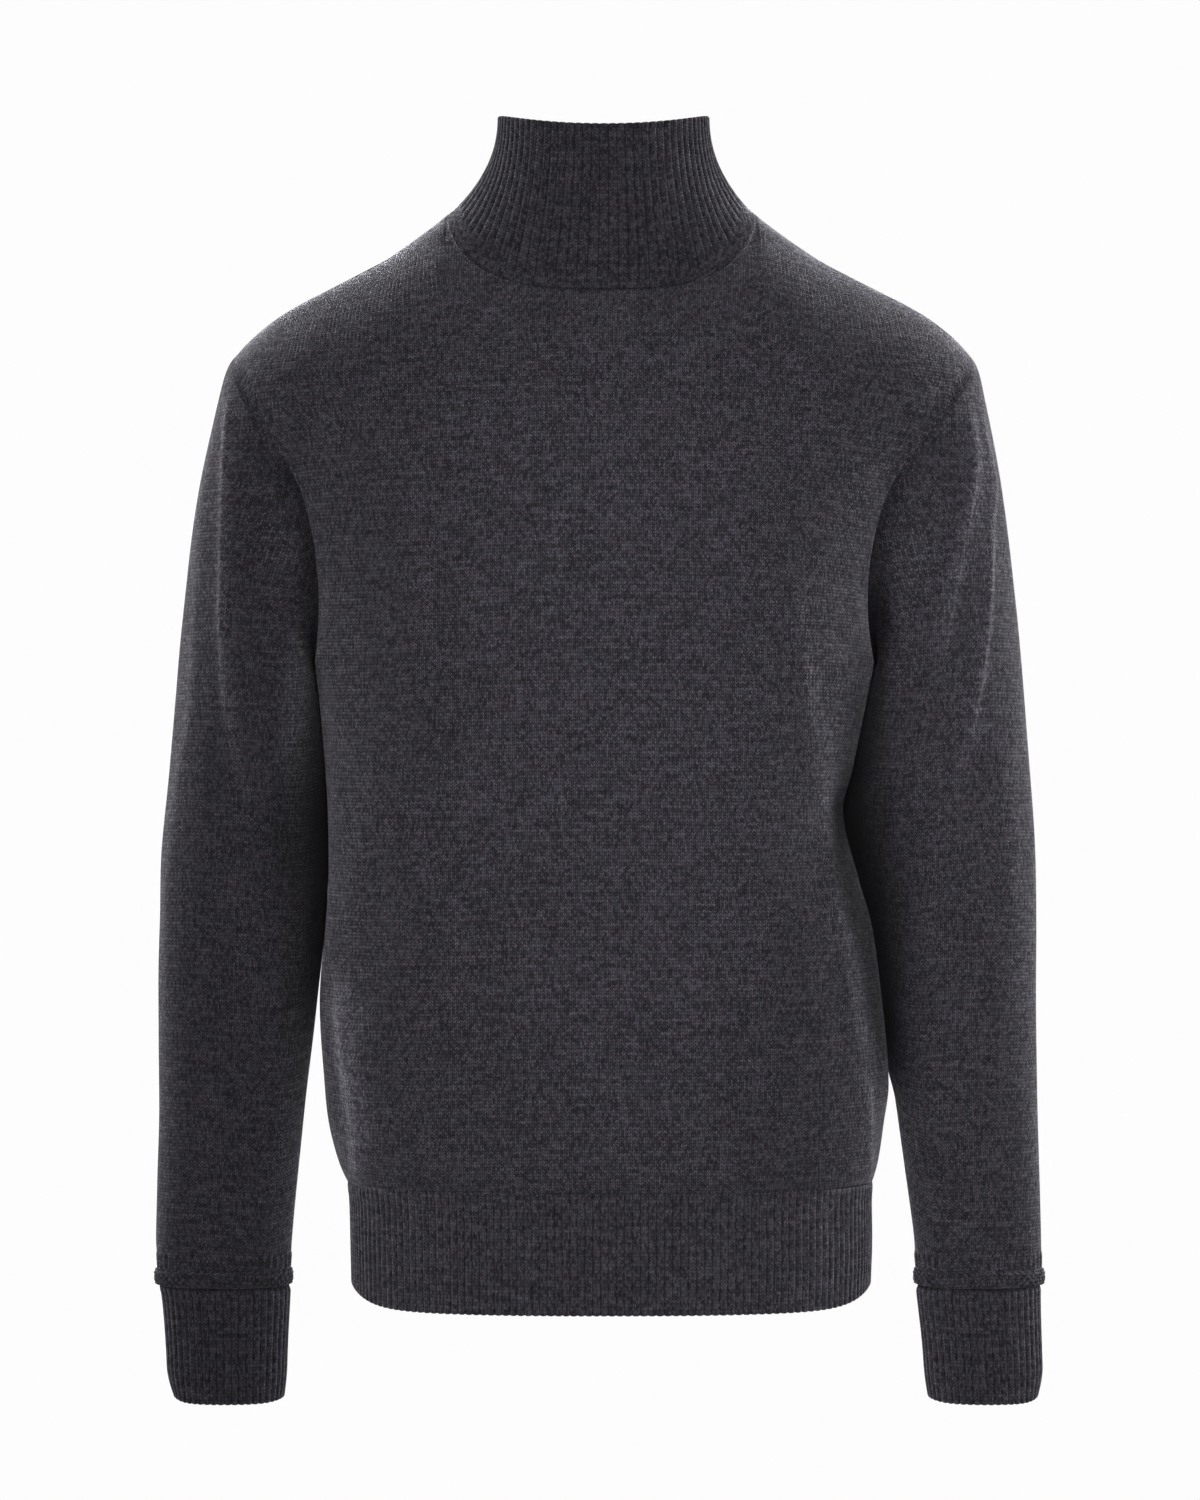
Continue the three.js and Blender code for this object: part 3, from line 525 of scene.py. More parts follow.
# ---- body ----
def crest_z(face, x):
    """Height at which the arch of a panel closes over x: the shoulder line, or inside the
    neck the height that makes the arch pass through the neck seam."""
    half = np.where(x < 0, NECK["right"], NECK["left"])
    share = np.minimum(1, np.abs(x) / half)
    rise = np.sqrt(np.maximum(0, 1 - share**2))
    front = NECK["high"] - NECK["dip"] * np.sqrt(1 - share**3)
    z = front if face == "front" else NECK["high"] + NECK["back_rise"] * rise
    deep = spline(TORSO["z"], TORSO[face], ARCH_Z) * (1 - (x / 232) ** 2 * 0.3)
    out = NECK[face] * (rise ** NECK["full"] if face == "front" else rise)
    under = ARCH_Z + (z - ARCH_Z) / np.sqrt(1 - (out / deep) ** 2)
    over = spline(SHOULDER["x"], SHOULDER["z"], np.abs(x))
    return np.where(np.abs(x) >= half, over, under)


def ridge_z(face, x):
    """The same, evened over 12 mm to each side."""
    return np.mean([crest_z(face, x + d) for d in range(-12, 13, 2)], axis=0)


def body_depth(face, x, z):
    """Depth of the body's rounded outline, which arches in above ARCH_Z."""
    sides = [spline(TORSO["z"], TORSO[side], z) for side in ("right", "left")]
    share = np.minimum(1, np.abs(x) / np.where(x < 0, sides[0], sides[1]))
    around = np.maximum(0, 1 - share**SQUARE) ** (1 / SQUARE)
    t = np.clip((z - ARCH_Z) / (ridge_z(face, x) - ARCH_Z), 0, 1)
    deep = spline(TORSO["z"], TORSO[face], np.minimum(z, ARCH_Z))
    return deep * around * np.sqrt(1 - t * t)


def even_shares(count):
    """Shares of the half width, -1 to 1, that space points evenly round half the body."""
    turn = np.pi / 2 * np.linspace(-1, 1, 6001)
    share = np.sign(turn) * np.abs(np.sin(turn)) ** (2 / SQUARE)
    deep = np.maximum(0, np.cos(turn)) ** (2 / SQUARE)
    s = reach(np.stack([share * BODY_MEAN[0], deep * BODY_MEAN[1]], -1), 0)
    return np.interp(np.linspace(0, s[-1], count + 1), s, share)


def top_points(face, i):
    """Top edge of a panel at steps i: right shoulder, neck and left shoulder."""
    far = ACROSS - SHOULDER_STEPS
    neck = neck_seam(face, np.clip((i - SHOULDER_STEPS) / NECK_STEPS * 2 - 1, -1, 1))
    line = []
    for side, k in (("right", i / SHOULDER_STEPS), ("left", (ACROSS - i) / SHOULDER_STEPS)):
        k = np.clip(k, 0, 1)
        tip = sleeve_points(side, 0.0, 0.0)
        high = neck_seam(face, np.array(float(SIGN[side])))
        x = mix(tip[0], high[0], k)
        crest = [spline(SHOULDER["x"], SHOULDER["z"], np.abs(v)) for v in (x, tip[0], high[0])]
        bend = crest[0] - mix(crest[1], crest[2], k)
        line.append(xyz(x, 0 * x, mix(tip[2], high[2], k) + bend))
    p = np.where((i < SHOULDER_STEPS)[:, None], line[0], neck)
    return np.where((i > far)[:, None], line[1], p)


def edge_points(side, face, j):
    """Side edge of a panel at steps j: side seam, then armhole."""
    t = np.clip(j / SIDE_STEPS, 0, 1)
    z = mix(HEM["top"], SLEEVE[side]["zi"][0], 0.3 * t + 0.7 * t**1.6)
    low = xyz(SIGN[side] * spline(TORSO["z"], TORSO[side], z), 0, z)
    turn = np.pi * (1 - np.clip((j - SIDE_STEPS) / ARM_STEPS, 0, 1))
    arm = sleeve_points(side, 0.0, turn if face == "front" else 2 * np.pi - turn)
    return np.where((j <= SIDE_STEPS)[:, None], low, arm)


def panel_grid(face):
    """Grid of a panel, from hem to top and from right to left, and the columns' shares."""
    i = np.arange(ACROSS * PANEL_COLUMNS + 1) / PANEL_COLUMNS
    j = np.arange((SIDE_STEPS + ARM_STEPS) * PANEL_ROWS + 1) / PANEL_ROWS
    shares = even_shares(ACROSS * PANEL_COLUMNS)
    tops = top_points(face, i)
    w = np.clip((j - SIDE_STEPS) / ARM_STEPS, 0, 1)[:, None]
    right, left = (edge_points(side, face, j)[:, None, :] for side in ("right", "left"))
    top_x = tops[:, 0]
    top_share = np.where(top_x < 0, -top_x / top_x[0], top_x / top_x[-1])
    share = mix(shares[None, :], top_share[None, :], ease(0, 1, w))
    x = np.where(share < 0, -share * right[..., 0], share * left[..., 0])
    lift = np.sin(np.pi / 2 * w) ** 1.4 * (tops[:, 2] - tops[0, 2])[None, :]
    z = mix(right[..., 2], left[..., 2], (share + 1) / 2) + lift
    edge = np.where((share < 0)[..., None], right, left)
    form = FACING[face] * body_depth(face, x, z)
    fit = edge[..., 1] - FACING[face] * body_depth(face, edge[..., 0], edge[..., 2])
    y = form + fit * np.abs(share) ** 7
    y = y + w**5 * (tops[:, 1] - y[-1])[None, :]
    return xyz(x, y, z), shares


def hem_grid(face, across, rows):
    """Grid of one side of the hem rib, from its seam down; its bottom rises at the sides."""
    i = np.linspace(0, ACROSS, across + 1)
    fine = even_shares(ACROSS * 40)
    share = np.interp(i, np.linspace(0, ACROSS, len(fine)), fine)
    z = np.linspace(HEM["top"], HEM["bottom"], rows + 1)
    line = {n: spline(HEM_RIB["z"], HEM_RIB[n], z) for n in ("right", "left", "front", "back")}
    half = np.where(share[None, :] < 0, line["right"][:, None], line["left"][:, None])
    around = np.maximum(0, 1 - np.abs(share) ** SQUARE) ** (1 / SQUARE)
    y = FACING[face] * line[face][:, None] * around[None, :]
    low = (HEM["top"] - z)[:, None] / (HEM["top"] - HEM["bottom"])
    return xyz(share * half, y, z[:, None] + HEM["side_lift"] * low * np.abs(share) ** 14)


def armhole_fill(p, far, sign, wide):
    """Evens out the dip beside the upper armhole; both pieces that meet there move alike."""
    much = spline(FILL["z"], FILL["much"], p[..., 2]) * bell(far, wide, 1.3)
    return much[..., None] * xyz(0.35 * sign, np.clip(p[..., 1] / 25, -1, 1), 0)


def relax(grid):
    """Evens a panel at each underarm, and below each high shoulder point, where the lines of
    neck and shoulder meet. Its edges stay."""
    x, z = grid[..., 0], grid[..., 2]
    half = np.where(x < 0, NECK["right"], NECK["left"])
    side = np.maximum(np.abs(x[:, :1]), 1)
    shoulder = bell(np.abs(x) - half, 22) * ease(-200, -120, z) * 0.5
    underarm = bell(z + 276, 16) * ease(0.62, 0.85, np.abs(x) / side) * 0.5
    much = np.maximum(shoulder, underarm)
    much[[0, -1]] = 0
    much[:, [0, -1]] = 0
    for _ in range(360):
        y = np.pad(grid[..., 1], 1, mode="edge")
        mean = (y[:-2, 1:-1] + y[2:, 1:-1] + y[1:-1, :-2] + y[1:-1, 2:]) / 4
        grid[..., 1] += much * (mean - grid[..., 1])
    # Then a plane fitted to the cloth round each point below the shoulder point takes out
    # the last ridge.
    for sign in (-1, 1):
        off = np.abs(x * sign - half)
        much = ease(24, 12, off) * ease(-175, -130, z) * ease(-6, -22, z) * (x * sign > 0)
        much = much * ease(1, 9, from_edge(grid, 0))
        near = (off < 36) & (z > -190) & (x * sign > 0)
        moved, among = grid[much > 0], grid[near]
        dx = among[None, :, 0] - moved[:, None, 0]
        dz = among[None, :, 2] - moved[:, None, 2]
        w = np.exp(-(dx * dx + dz * dz) / 90)
        terms = np.stack([np.ones_like(dx), dx, dz], -1)
        square = np.einsum("pq,pqa,pqb->pab", w, terms, terms)
        line = np.einsum("pq,pqa,q->pa", w, terms, among[:, 1])
        flat = np.linalg.solve(square, line[..., None])[:, 0, 0]
        grid[much > 0, 1] = mix(moved[:, 1], flat, much[much > 0])
    return grid


# ---- meshes ----
def wall_mesh(name, outer, inner, uv, turn, closed=True, rolled=False, tone=1.0):
    """A closed wall between an outer and an inner grid of the same size. Its last row is a
    free edge where rolled. uv holds stitches across and rows up; tone is the painted light and
    shade on it."""
    tone = np.broadcast_to(tone, outer.shape[:2])
    rings, maps, tones = [outer, inner[::-1]], [uv, uv[::-1]], [tone, tone[::-1]]
    if rolled:
        mid = (outer[-1] + inner[-1]) / 2
        down = unit(outer[-1] - outer[-2])
        half = np.linalg.norm(outer[-1] - inner[-1], axis=-1, keepdims=True) / 2
        turns = [math.pi * q / (ROLL_ROWS + 1) for q in range(1, ROLL_ROWS + 1)]
        arc = [mid + (outer[-1] - mid) * math.cos(a) + down * half * math.sin(a) for a in turns]
        rings.insert(1, np.array(arc))
        maps.insert(1, np.array([uv[-1] + (0, (q + 1) * ROLL_STEP) for q in range(ROLL_ROWS)]))
        tones.insert(1, tone[-1:].repeat(ROLL_ROWS, 0))
    grid, chart, painted_light = (np.concatenate(parts) for parts in (rings, maps, tones))
    rows, cols = grid.shape[:2]
    n = cols - 1 if closed else cols
    j, i = (a.ravel() for a in np.mgrid[0:rows, 0 : cols - 1])
    k = (j + 1) % rows
    corners = [(j, i), (j, i + 1), (k, i + 1), (k, i)]
    faces = np.stack([a * n + b % n for a, b in corners], 1)
    chart = np.stack([chart[a, b] for a, b in corners], 1)
    # Faces between the outer and the inner wall are flat, so that edges stay crisp.
    cut = [rows - 1] if rolled else [len(outer) - 1, rows - 1]
    smooth = ~np.isin(j, cut)
    if not closed:
        # Two strips close the wall along its first and its last column.
        q = np.arange(len(outer) - 1)
        far = rows - 1 - q
        for c, way in ((0, 1), (n - 1, -1)):
            quad = [q * n + c, (q + 1) * n + c, (far - 1) * n + c, far * n + c]
            side = [uv[q, c], uv[q + 1, c], uv[q + 1, c], uv[q, c]]
            faces = np.concatenate([faces, np.stack(quad[::way], 1)])
            chart = np.concatenate([chart, np.stack(side[::way], 1)])
            smooth = np.append(smooth, np.zeros(len(q), bool))
    if turn < 0:
        faces, chart = faces[:, ::-1], chart[:, ::-1]
    points = grid[:, :n].reshape(-1, 3) * MM
    mesh = bpy.data.meshes.new(name)
    mesh.vertices.add(len(points))
    mesh.vertices.foreach_set("co", points.ravel())
    mesh.loops.add(faces.size)
    mesh.loops.foreach_set("vertex_index", faces.ravel().astype(np.int32))
    mesh.polygons.add(len(faces))
    mesh.polygons.foreach_set("loop_start", np.arange(0, faces.size, 4, dtype=np.int32))
    mesh.polygons.foreach_set("use_smooth", smooth)
    # Painted light and shade per point, read by the material.
    layer = mesh.attributes.new("painted_light", "FLOAT", "POINT")
    layer.data.foreach_set("value", painted_light[:, :n].ravel().astype(np.float32))
    layer = mesh.uv_layers.new(name="knit")
    layer.data.foreach_set("uv", chart.reshape(-1).astype(np.float32))
    mesh.update(calc_edges=True)
    mesh.validate()
    piece = bpy.data.objects.new(name, mesh)
    bpy.context.scene.collection.objects.link(piece)
    return piece


def knit_map(grid, turn, way, closed=True):
    """Stitches across and rows along a grid, from distances across and along way, counted
    from the middle of its first row. On top of a shoulder the rows follow the grid."""
    n = normals(grid, closed, turn)
    if not closed:
        way = mix(way, unit(steps(grid, 0)), ease(0.3, 0.75, np.abs(n[..., 2:])))
    up = unit(way - n * np.sum(way * n, -1, keepdims=True))
    across = np.cross(up, n)
    di, dj = np.diff(grid, axis=1), np.diff(grid, axis=0)
    start = [grid.shape[1] // 2]
    u = summed(np.sum(di * between(across, 1), -1), 1)
    u = u - u[:, start] + summed(np.sum(dj * between(across, 0), -1), 0)[:, start]
    v = summed(np.sum(dj * between(up, 0), -1), 0)
    v = v + summed(np.sum(di * between(up, 1), -1), 1)[[0]]
    return np.stack([u / WALE, v / COURSE], -1)


def rib_crests(name):
    """1 on the crests and 0 in the valleys of broad round ribs."""
    per = PER_RIB[name]
    u = (np.arange(RIBS[name] * per + 1) / per) % 1
    return np.abs(np.sin(np.pi * u))[None, :] ** 0.62


def rib_rise(name):
    return rib_crests(name) * RIB_HIGH - VALLEY[name]


def rib_map(name, grid, way):
    """Stitches, two to a rib, and rows along a ribbed grid."""
    per = PER_RIB[name]
    u = np.arange(RIBS[name] * per + 1) / per * 2
    v = reach(grid, 0) / COURSE * way
    return np.stack([np.broadcast_to(u, v.shape), v], -1)


PIECES = []


def add_piece(piece, node, slot, flat, area=None):
    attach(piece, "root")
    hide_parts(node)
    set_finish(piece, slot)
    PIECES.append((piece, flat, area))


# ---- pieces ----
def make_panel(face):
    turn = -FACING[face]
    grid, shares = panel_grid(face)
    grid = relax(grid)
    far = from_edge(grid, 1)
    seam = np.minimum(far, from_edge(grid, 0))
    arm = ease(SIDE_STEPS - 1, SIDE_STEPS + 1, np.arange(len(grid)) / PANEL_ROWS)
    fill = armhole_fill(grid, far, np.sign(shares)[None, :], 7.5)
    grid = grid + fill * arm[:, None, None]
    n = normals(grid, False, turn)
    x, z = grid[..., 0], grid[..., 2]
    clear = ease(1, 0.96, np.abs(shares))[None, :]
    rise = soft_rise(grid, seam, SEEDS[face]) + clear * fold(f"body_{face}", x, z)
    # Painted light and shade: fold crests lighter; the upper armhole seam, the sides, the top and
    # bottom edges and the crevices beside the sleeves darker.
    tone = (1 + fold(f"body_{face}", x, z, "glow")) * seam_line(far, z)
    tone = tone * away(x, z) * neck_tuck(from_edge(grid, 0), ease(30, 60, np.abs(x)))
    tone = tone * shade("body_left", spline(TORSO["z"], TORSO["left"], z) - x, z, 4)
    tone = tone * shade("body_right", spline(TORSO["z"], TORSO["right"], z) + x, z, 2)
    outer = grid + n * rise[..., None]
    inner = grid - n * WALL
    uv = knit_map(grid, turn, np.array([0, 0, 1.0]), False)
    piece = wall_mesh(f"body_{face}", outer, inner, uv, turn, closed=False, tone=tone)
    add_piece(piece, f"{face}_panel", "body_knit", (0.52, 0.66), 0.29)


def sleeve_rings(side):
    """Rings 3.5 mm apart, then 0.75 mm apart so that the stitches of the end band show."""
    heights = SLEEVE[side]["zo"]
    last = len(heights) - 1
    band = list(heights).index(-640)
    fine = np.linspace(0, last, 100 * last + 1)
    z = spline(np.arange(last + 1.0), heights, fine)
    below = np.linspace(heights[band], WRIST_Z, 44)
    above = np.linspace(0, band, 12 * band + 1)[:-1]
    return np.concatenate([above, np.interp(-below, -z, fine)])[:, None]


def make_sleeve(side):
    """A sleeve down to its raised end band, with 5 columns to each pair of stitches there."""
    turn = sign = SIGN[side]
    cols = RIBS["cuff"] * 5
    angle = np.roll(ring_turns(cols)[:-1], cols // 2)
    angle = np.append(angle, angle[0])[None, :]
    grid = sleeve_points(side, sleeve_rings(side), angle)
    edge = (grid[..., 0] * sign).min(1)[:, None]
    top, low = reach(grid, 0), reach(grid, 0, len(grid) - 1)
    grid = grid + armhole_fill(grid, top, sign, 14) + lean_in(side, grid, angle)
    n = normals(grid, True, turn)
    out, z = grid[..., 0] * sign, grid[..., 2]
    front = ease(-0.2, 0.2, np.sin(angle))
    lift, glow = (
        mix(fold(f"sleeve_{side}_back", out, z, k), fold(f"sleeve_{side}_front", out, z, k), front)
        for k in ("rise", "glow")
    )
    clear = ease(0, 24, top)
    rise = soft_rise(grid, np.minimum(top, low), SEEDS[side]) + lift * clear
    # Painted light and shade: the front is darker where it faces the body, and a little along the
    # armhole; fold crests are lighter.
    near = ease(-0.75, -0.1, np.sin(angle))
    dim = shade(f"sleeve_{side}", out - edge, z)
    dim = dim * (1 - 0.5 * bell(top, 11) * ease(-136, -165, z))
    tone = (1 + glow * clear) * seam_line(top, z) * mix(1, dim * LIT[side], near)
    # Sleeve end: short ribs above, then a raised moss-stitch band and a groove at the seam.
    wave = np.sin(np.pi * (np.arange(cols + 1)[None, :] / 2.5))
    ribs = ease(-650, -653, z) * ease(-662, -659, z)
    moss = ease(-660, -662, z) * ease(WRIST_Z, -670.5, z)
    row = (z + 661) / COURSE
    rise = rise + ribs * 0.5 * wave
    rise = rise + moss * 0.6 * wave * np.clip(2 * np.sin(np.pi * row), -1, 1)
    rise = rise - 0.6 * bell(low, GROOVE_WIDE)
    outer = grid + n * rise[..., None]
    inner = grid - n * WALL
    uv = knit_map(grid, turn, unit(np.array([-0.065 * sign, 0.03, 1])))
    piece = wall_mesh(f"sleeve_{side}_knit", outer, inner, uv, turn, tone=tone * tucked(low))
    add_piece(piece, f"sleeve_{side}", "sleeve_knit", (0.36, 0.60), 0.18)


def seam_places(face, ribs, middle):
    """Places of a rib's columns along the neck seam; middle is how close they crowd there."""
    s = np.linspace(-1, 1, 2001)
    length = reach(neck_seam(face, s), 0)
    q = np.linspace(-1, 1, ribs * PER_RIB["collar"] + 1)
    gap = middle + (1 - middle) * np.minimum(1, np.abs(q) * 1.5) ** 2
    place = summed((gap[1:] + gap[:-1]) / 2, 0)
    return np.interp(place / place[-1] * length[-1], length, s)


def make_collar():
    """A linking band at the foot, then ribs up to a rounded free edge. The ribs crowd a
    little at the middle of the seam, and those beside it come round from behind."""
    per = PER_RIB["collar"]
    front_ribs = RIBS["collar"] // 2 + 4
    front = seam_places("front", front_ribs, 0.74)
    back = seam_places("back", RIBS["collar"] - front_ribs, 0.95)
    low = np.append(front[:-1], 2 + back)
    high = (np.arange(len(low)) / per - front_ribs / 2) * 4 / RIBS["collar"]
    up = np.concatenate([np.linspace(0, 0.2, 25)[:-1], np.linspace(0.2, 0.99, 30)])[:, None]
    grid = collar_surface(mix(high[None, :], low[None, :], (1 - up) ** 4.2), up)
    n = normals(grid, True, 1)
    foot = reach(grid, 0)
    side = np.abs(grid[:1, :, 0] / NECK["right"])
    # The band is twice as high at the sides as in the middle.
    band = 6 + 6 * ease(0.5, 0.95, side)
    ribbed = ease(0, 3.5, foot - band)
    rib = rib_crests("collar")
    u = np.arange(grid.shape[1])[None, :] / per * 2
    moss = np.sin(np.pi * u) * np.sin(np.pi * foot / COURSE / 1.15)
    lip = bell(foot - 3.2, 2.2)
    rise = rib_rise("collar") * ribbed + (0.55 + 0.5 * lip + 0.3 * moss) * (1 - ribbed)
    rise = rise * ease(-0.2, 1.5, foot)
    # Painted shade: the collar is drawn darker overall, and more at its seam.
    tone = COLLAR_LIT * neck_tuck(foot, ease(0.3, 0.6, side))
    outer = grid + n * rise[..., None]
    inner = grid - n * WALL + n * 0.4 * rib[..., None] * ribbed[..., None]
    uv = rib_map("collar", grid, 1) - np.stack([0 * foot, band / COURSE + 0 * foot], -1)
    piece = wall_mesh("collar_knit", outer, inner, uv, 1, rolled=True, tone=tone)
    add_piece(piece, "collar", "collar_rib", (0.46, 0.09))


def make_hem(face):
    turn = FACING[face]
    rows = 24
    grid = hem_grid(face, RIBS["hem"] * PER_RIB["hem"], rows)
    # The last rows end half a wall higher, so that the rolled edge ends where the solid does.
    grid[..., 2] += WALL / 2 * ease(0.6, 1, np.linspace(0, 1, rows + 1))[:, None]
    n = normals(grid, False, turn)
    low = reach(grid, 0)
    rise = rib_rise("hem") * ease(0, 5, low) * ease(0, 4, from_edge(grid, 1))
    rise = rise + 0.2 * ease(0, 2, low)
    outer = grid + n * rise[..., None]
    inner = grid - n * WALL
    uv = rib_map("hem", grid, -1)
    piece = wall_mesh(f"hem_{face}_knit", outer, inner, uv, turn, closed=False, rolled=True)
    add_piece(piece, f"hem_rib_{face}", "hem_rib", (0.47, 0.075))


def make_cuff(side):
    turn = SIGN[side]
    rows = CUFF[side]
    angle = ring_turns(RIBS["cuff"] * PER_RIB["cuff"])[None, :]
    fine = np.linspace(WRIST_Z, -680, 9)[:-1]
    z = np.concatenate([fine, np.linspace(-680, CUFF_END, 26)])[:, None]
    r = {name: spline(rows["z"], rows[name], z) for name in rows}
    c, s = np.cos(angle), np.sin(angle)
    y = r["y"] - s * np.where(s > 0, r["front"], r["back"])
    # The free end draws in a little, most at its outer corner.
    end = ease(-722, -752, z)
    outward, inward = np.maximum(0, c), np.maximum(0, -c)
    draw = end * (4.5 * outward**3 + 1.5 * inward**3)
    lift = end**2 * (4 * outward**6 + 3 * inward**6)
    grid = xyz(SIGN[side] * (r["x"] + r["wide"] * c - draw * np.sign(c)), y, z + lift)
    n = normals(grid, True, turn)
    low = reach(grid, 0)
    rise = rib_rise("cuff") * ease(0, 4, low) - 0.5 * bell(low, GROOVE_WIDE)
    outer = grid + n * rise[..., None]
    inner = grid - n * WALL
    uv = rib_map("cuff", grid, -1)
    # Painted shade: each cuff is darkened by LIT, and more at its seam.
    tone = LIT[side] * tucked(low, 0.7, 1.4)
    piece = wall_mesh(f"cuff_{side}_knit", outer, inner, uv, turn, rolled=True, tone=tone)
    add_piece(piece, f"cuff_{side}", "cuff_rib", (0.235, 0.078))


for face in ("front", "back"):
    make_panel(face)
for side in ("right", "left"):
    make_sleeve(side)
make_collar()
for face in ("front", "back"):
    make_hem(face)
for side in ("right", "left"):
    make_cuff(side)


# ---- materials ----
class Graph:
    """Short ways to write shader maths."""

    def __init__(self, name):
        self.material = bpy.data.materials.new(name)
        self.material.use_nodes = True
        self.tree = self.material.node_tree
        self.shader = self.tree.nodes["Principled BSDF"]

    def node(self, kind, **links):
        node = self.tree.nodes.new(kind)
        for name, value in links.items():
            self.put(node.inputs[name], value)
        return node

    def put(self, socket, value):
        if isinstance(value, bpy.types.NodeSocket):
            self.tree.links.new(value, socket)
        else:
            socket.default_value = value

    def math(self, operation, *values):
        node = self.tree.nodes.new("ShaderNodeMath")
        node.operation = operation
        for k, value in enumerate(values):
            self.put(node.inputs[k], value)
        return node.outputs[0]

    def add(self, a, b):
        return self.math("ADD", a, b)

    def sub(self, a, b):
        return self.math("SUBTRACT", a, b)

    def mul(self, a, b):
        return self.math("MULTIPLY", a, b)

    def span(self, value, a, b, c, d, smooth=False):
        """Takes a to c and b to d, and stays at c and d beyond them."""
        node = self.tree.nodes.new("ShaderNodeMapRange")
        node.interpolation_type = "SMOOTHSTEP" if smooth else "LINEAR"
        for k, v in enumerate((value, a, b, c, d)):
            self.put(node.inputs[k], v)
        return node.outputs[0]

    def point(self, x, y, z):
        return self.node("ShaderNodeCombineXYZ", X=x, Y=y, Z=z).outputs[0]

    def noise(self, vector, scale=1.0, detail=1.0):
        node = self.node("ShaderNodeTexNoise", Vector=vector, Scale=scale, Detail=detail)
        return node.outputs["Fac"]


def knit_material(name, base, depth, rib, band=False):
    """Knit drawn from the map: u counts stitches across, v rows. depth is how dark the painted
    shade in the gaps between stitches is; rib adds wales with painted shade in the valleys between
    them, above a band if asked."""
    g = Graph(name)
    where = g.tree.nodes.new("ShaderNodeUVMap")
    where.uv_map = "knit"
    split = g.node("ShaderNodeSeparateXYZ", Vector=where.outputs[0])
    u, v = split.outputs[0], split.outputs[1]
    # Yarn that wanders a little from stitch to stitch.
    pair = g.point(g.mul(u, 0.5), g.mul(v, 0.5), 1.7)
    drift = g.node("ShaderNodeTexNoise", Vector=pair, Scale=1.0, Detail=1.0)
    parts = g.node("ShaderNodeSeparateXYZ", Vector=drift.outputs["Color"])
    uu = g.add(u, g.mul(g.sub(parts.outputs[0], 0.5), 0.34))
    vv = g.add(v, g.mul(g.sub(parts.outputs[1], 0.5), 0.5))
    # Two legs lean out from the middle of each stitch.
    off = g.math("ABSOLUTE", g.sub(g.mul(g.math("FRACT", uu), 2), 1))
    leaning = g.sub(vv, g.mul(off, 0.62))
    leg = g.math("SINE", g.mul(off, math.pi))
    bead = g.math("SINE", g.mul(g.math("FRACT", leaning), math.pi))
    stitch = g.mul(g.math("POWER", g.math("MAXIMUM", leg, 0.0), 0.6),
                   g.math("POWER", g.math("MAXIMUM", bead, 0.0), 0.7))
    # Melange: each leg of yarn has its own tone, in strands and flecks; rows vary a little.
    leg_at = g.point(g.math("FLOOR", g.mul(uu, 2)), g.math("FLOOR", leaning), 3.0)
    yarn = g.node("ShaderNodeTexWhiteNoise", Vector=leg_at).outputs[0]
    long = g.point(g.mul(u, 0.13), g.mul(v, 0.7), 0.0)
    short = g.point(g.mul(u, 0.45), g.mul(v, 0.6), 4.0)
    fleck = g.point(g.mul(u, 2.1), g.mul(v, 1.6), 9.0)
    streak = g.span(g.noise(long), 0.3, 0.7, 0.78, 1.22)
    strand = g.span(g.noise(short), 0.28, 0.72, 0.86, 1.14)
    speck = g.span(g.noise(fleck), 0.3, 0.7, 0.82, 1.2)
    place = g.tree.nodes.new("ShaderNodeTexCoord").outputs["Object"]
    broad = g.span(g.noise(place, 9.0, 2.0), 0.3, 0.7, 0.95, 1.05)
    tone = g.mul(g.mul(streak, strand), g.mul(speck, broad))
    tone = g.mul(tone, g.span(yarn, 0.0, 1.0, 0.48, 1.52))
    # Painted shade in the gaps between stitches, and a painted highlight on their legs.
    tone = g.mul(tone, g.span(stitch, 0.0, 0.9, 1 - depth, 1.0 + 0.45 * depth))
    # Painted light and shade that each piece carries in its attribute: darker crevices, seams and
    # edges, lighter fold crests.
    painted_light = g.tree.nodes.new("ShaderNodeAttribute")
    painted_light.attribute_name = "painted_light"
    tone = g.mul(tone, painted_light.outputs["Fac"])
    height = stitch
    if rib:
        crest = g.math("ABSOLUTE", g.math("SINE", g.mul(u, math.pi / 2)))
        if band:
            purl = g.add(g.mul(g.math("SINE", g.mul(v, math.pi)), 0.2), 0.62)
            ribbed = g.span(v, -0.6, 1.0, 0.0, 1.0, True)
            crest = g.add(g.mul(crest, ribbed), g.mul(purl, g.sub(1.0, ribbed)))
        # Painted shade in the valleys between ribs and across the band's rows.
        tone = g.mul(tone, g.span(crest, 0.0, 0.62, 0.6, 1.06, True))
        height = g.mul(stitch, g.span(crest, 0.0, 0.9, 0.35, 1.0, True))
    height = g.add(height, g.mul(g.noise(fleck, 2.0, 3.0), 0.5))
    # The dye is a little redder in some places and greener in others.
    tint = g.span(g.noise(place, 90.0), 0.35, 0.65, 0.0, 1.0, True)
    shades = g.node("ShaderNodeMix")
    shades.data_type = "RGBA"
    g.put(shades.inputs[0], tint)
    g.put(shades.inputs[6], (base[0] * 1.03, base[1] * 0.98, base[2] * 1.01, 1))
    g.put(shades.inputs[7], (base[0] * 0.98, base[1] * 1.01, base[2] * 1.0, 1))
    colour = g.node("ShaderNodeVectorMath")
    colour.operation = "SCALE"
    g.put(colour.inputs[0], shades.outputs[2])
    g.put(colour.inputs["Scale"], tone)
    bump = g.node("ShaderNodeBump", Height=height, Strength=0.9, Distance=0.0006)
    g.put(g.shader.inputs["Base Color"], colour.outputs[0])
    g.put(g.shader.inputs["Normal"], bump.outputs[0])
    g.shader.inputs["Roughness"].default_value = 0.92
    g.shader.inputs["Specular IOR Level"].default_value = 0.1
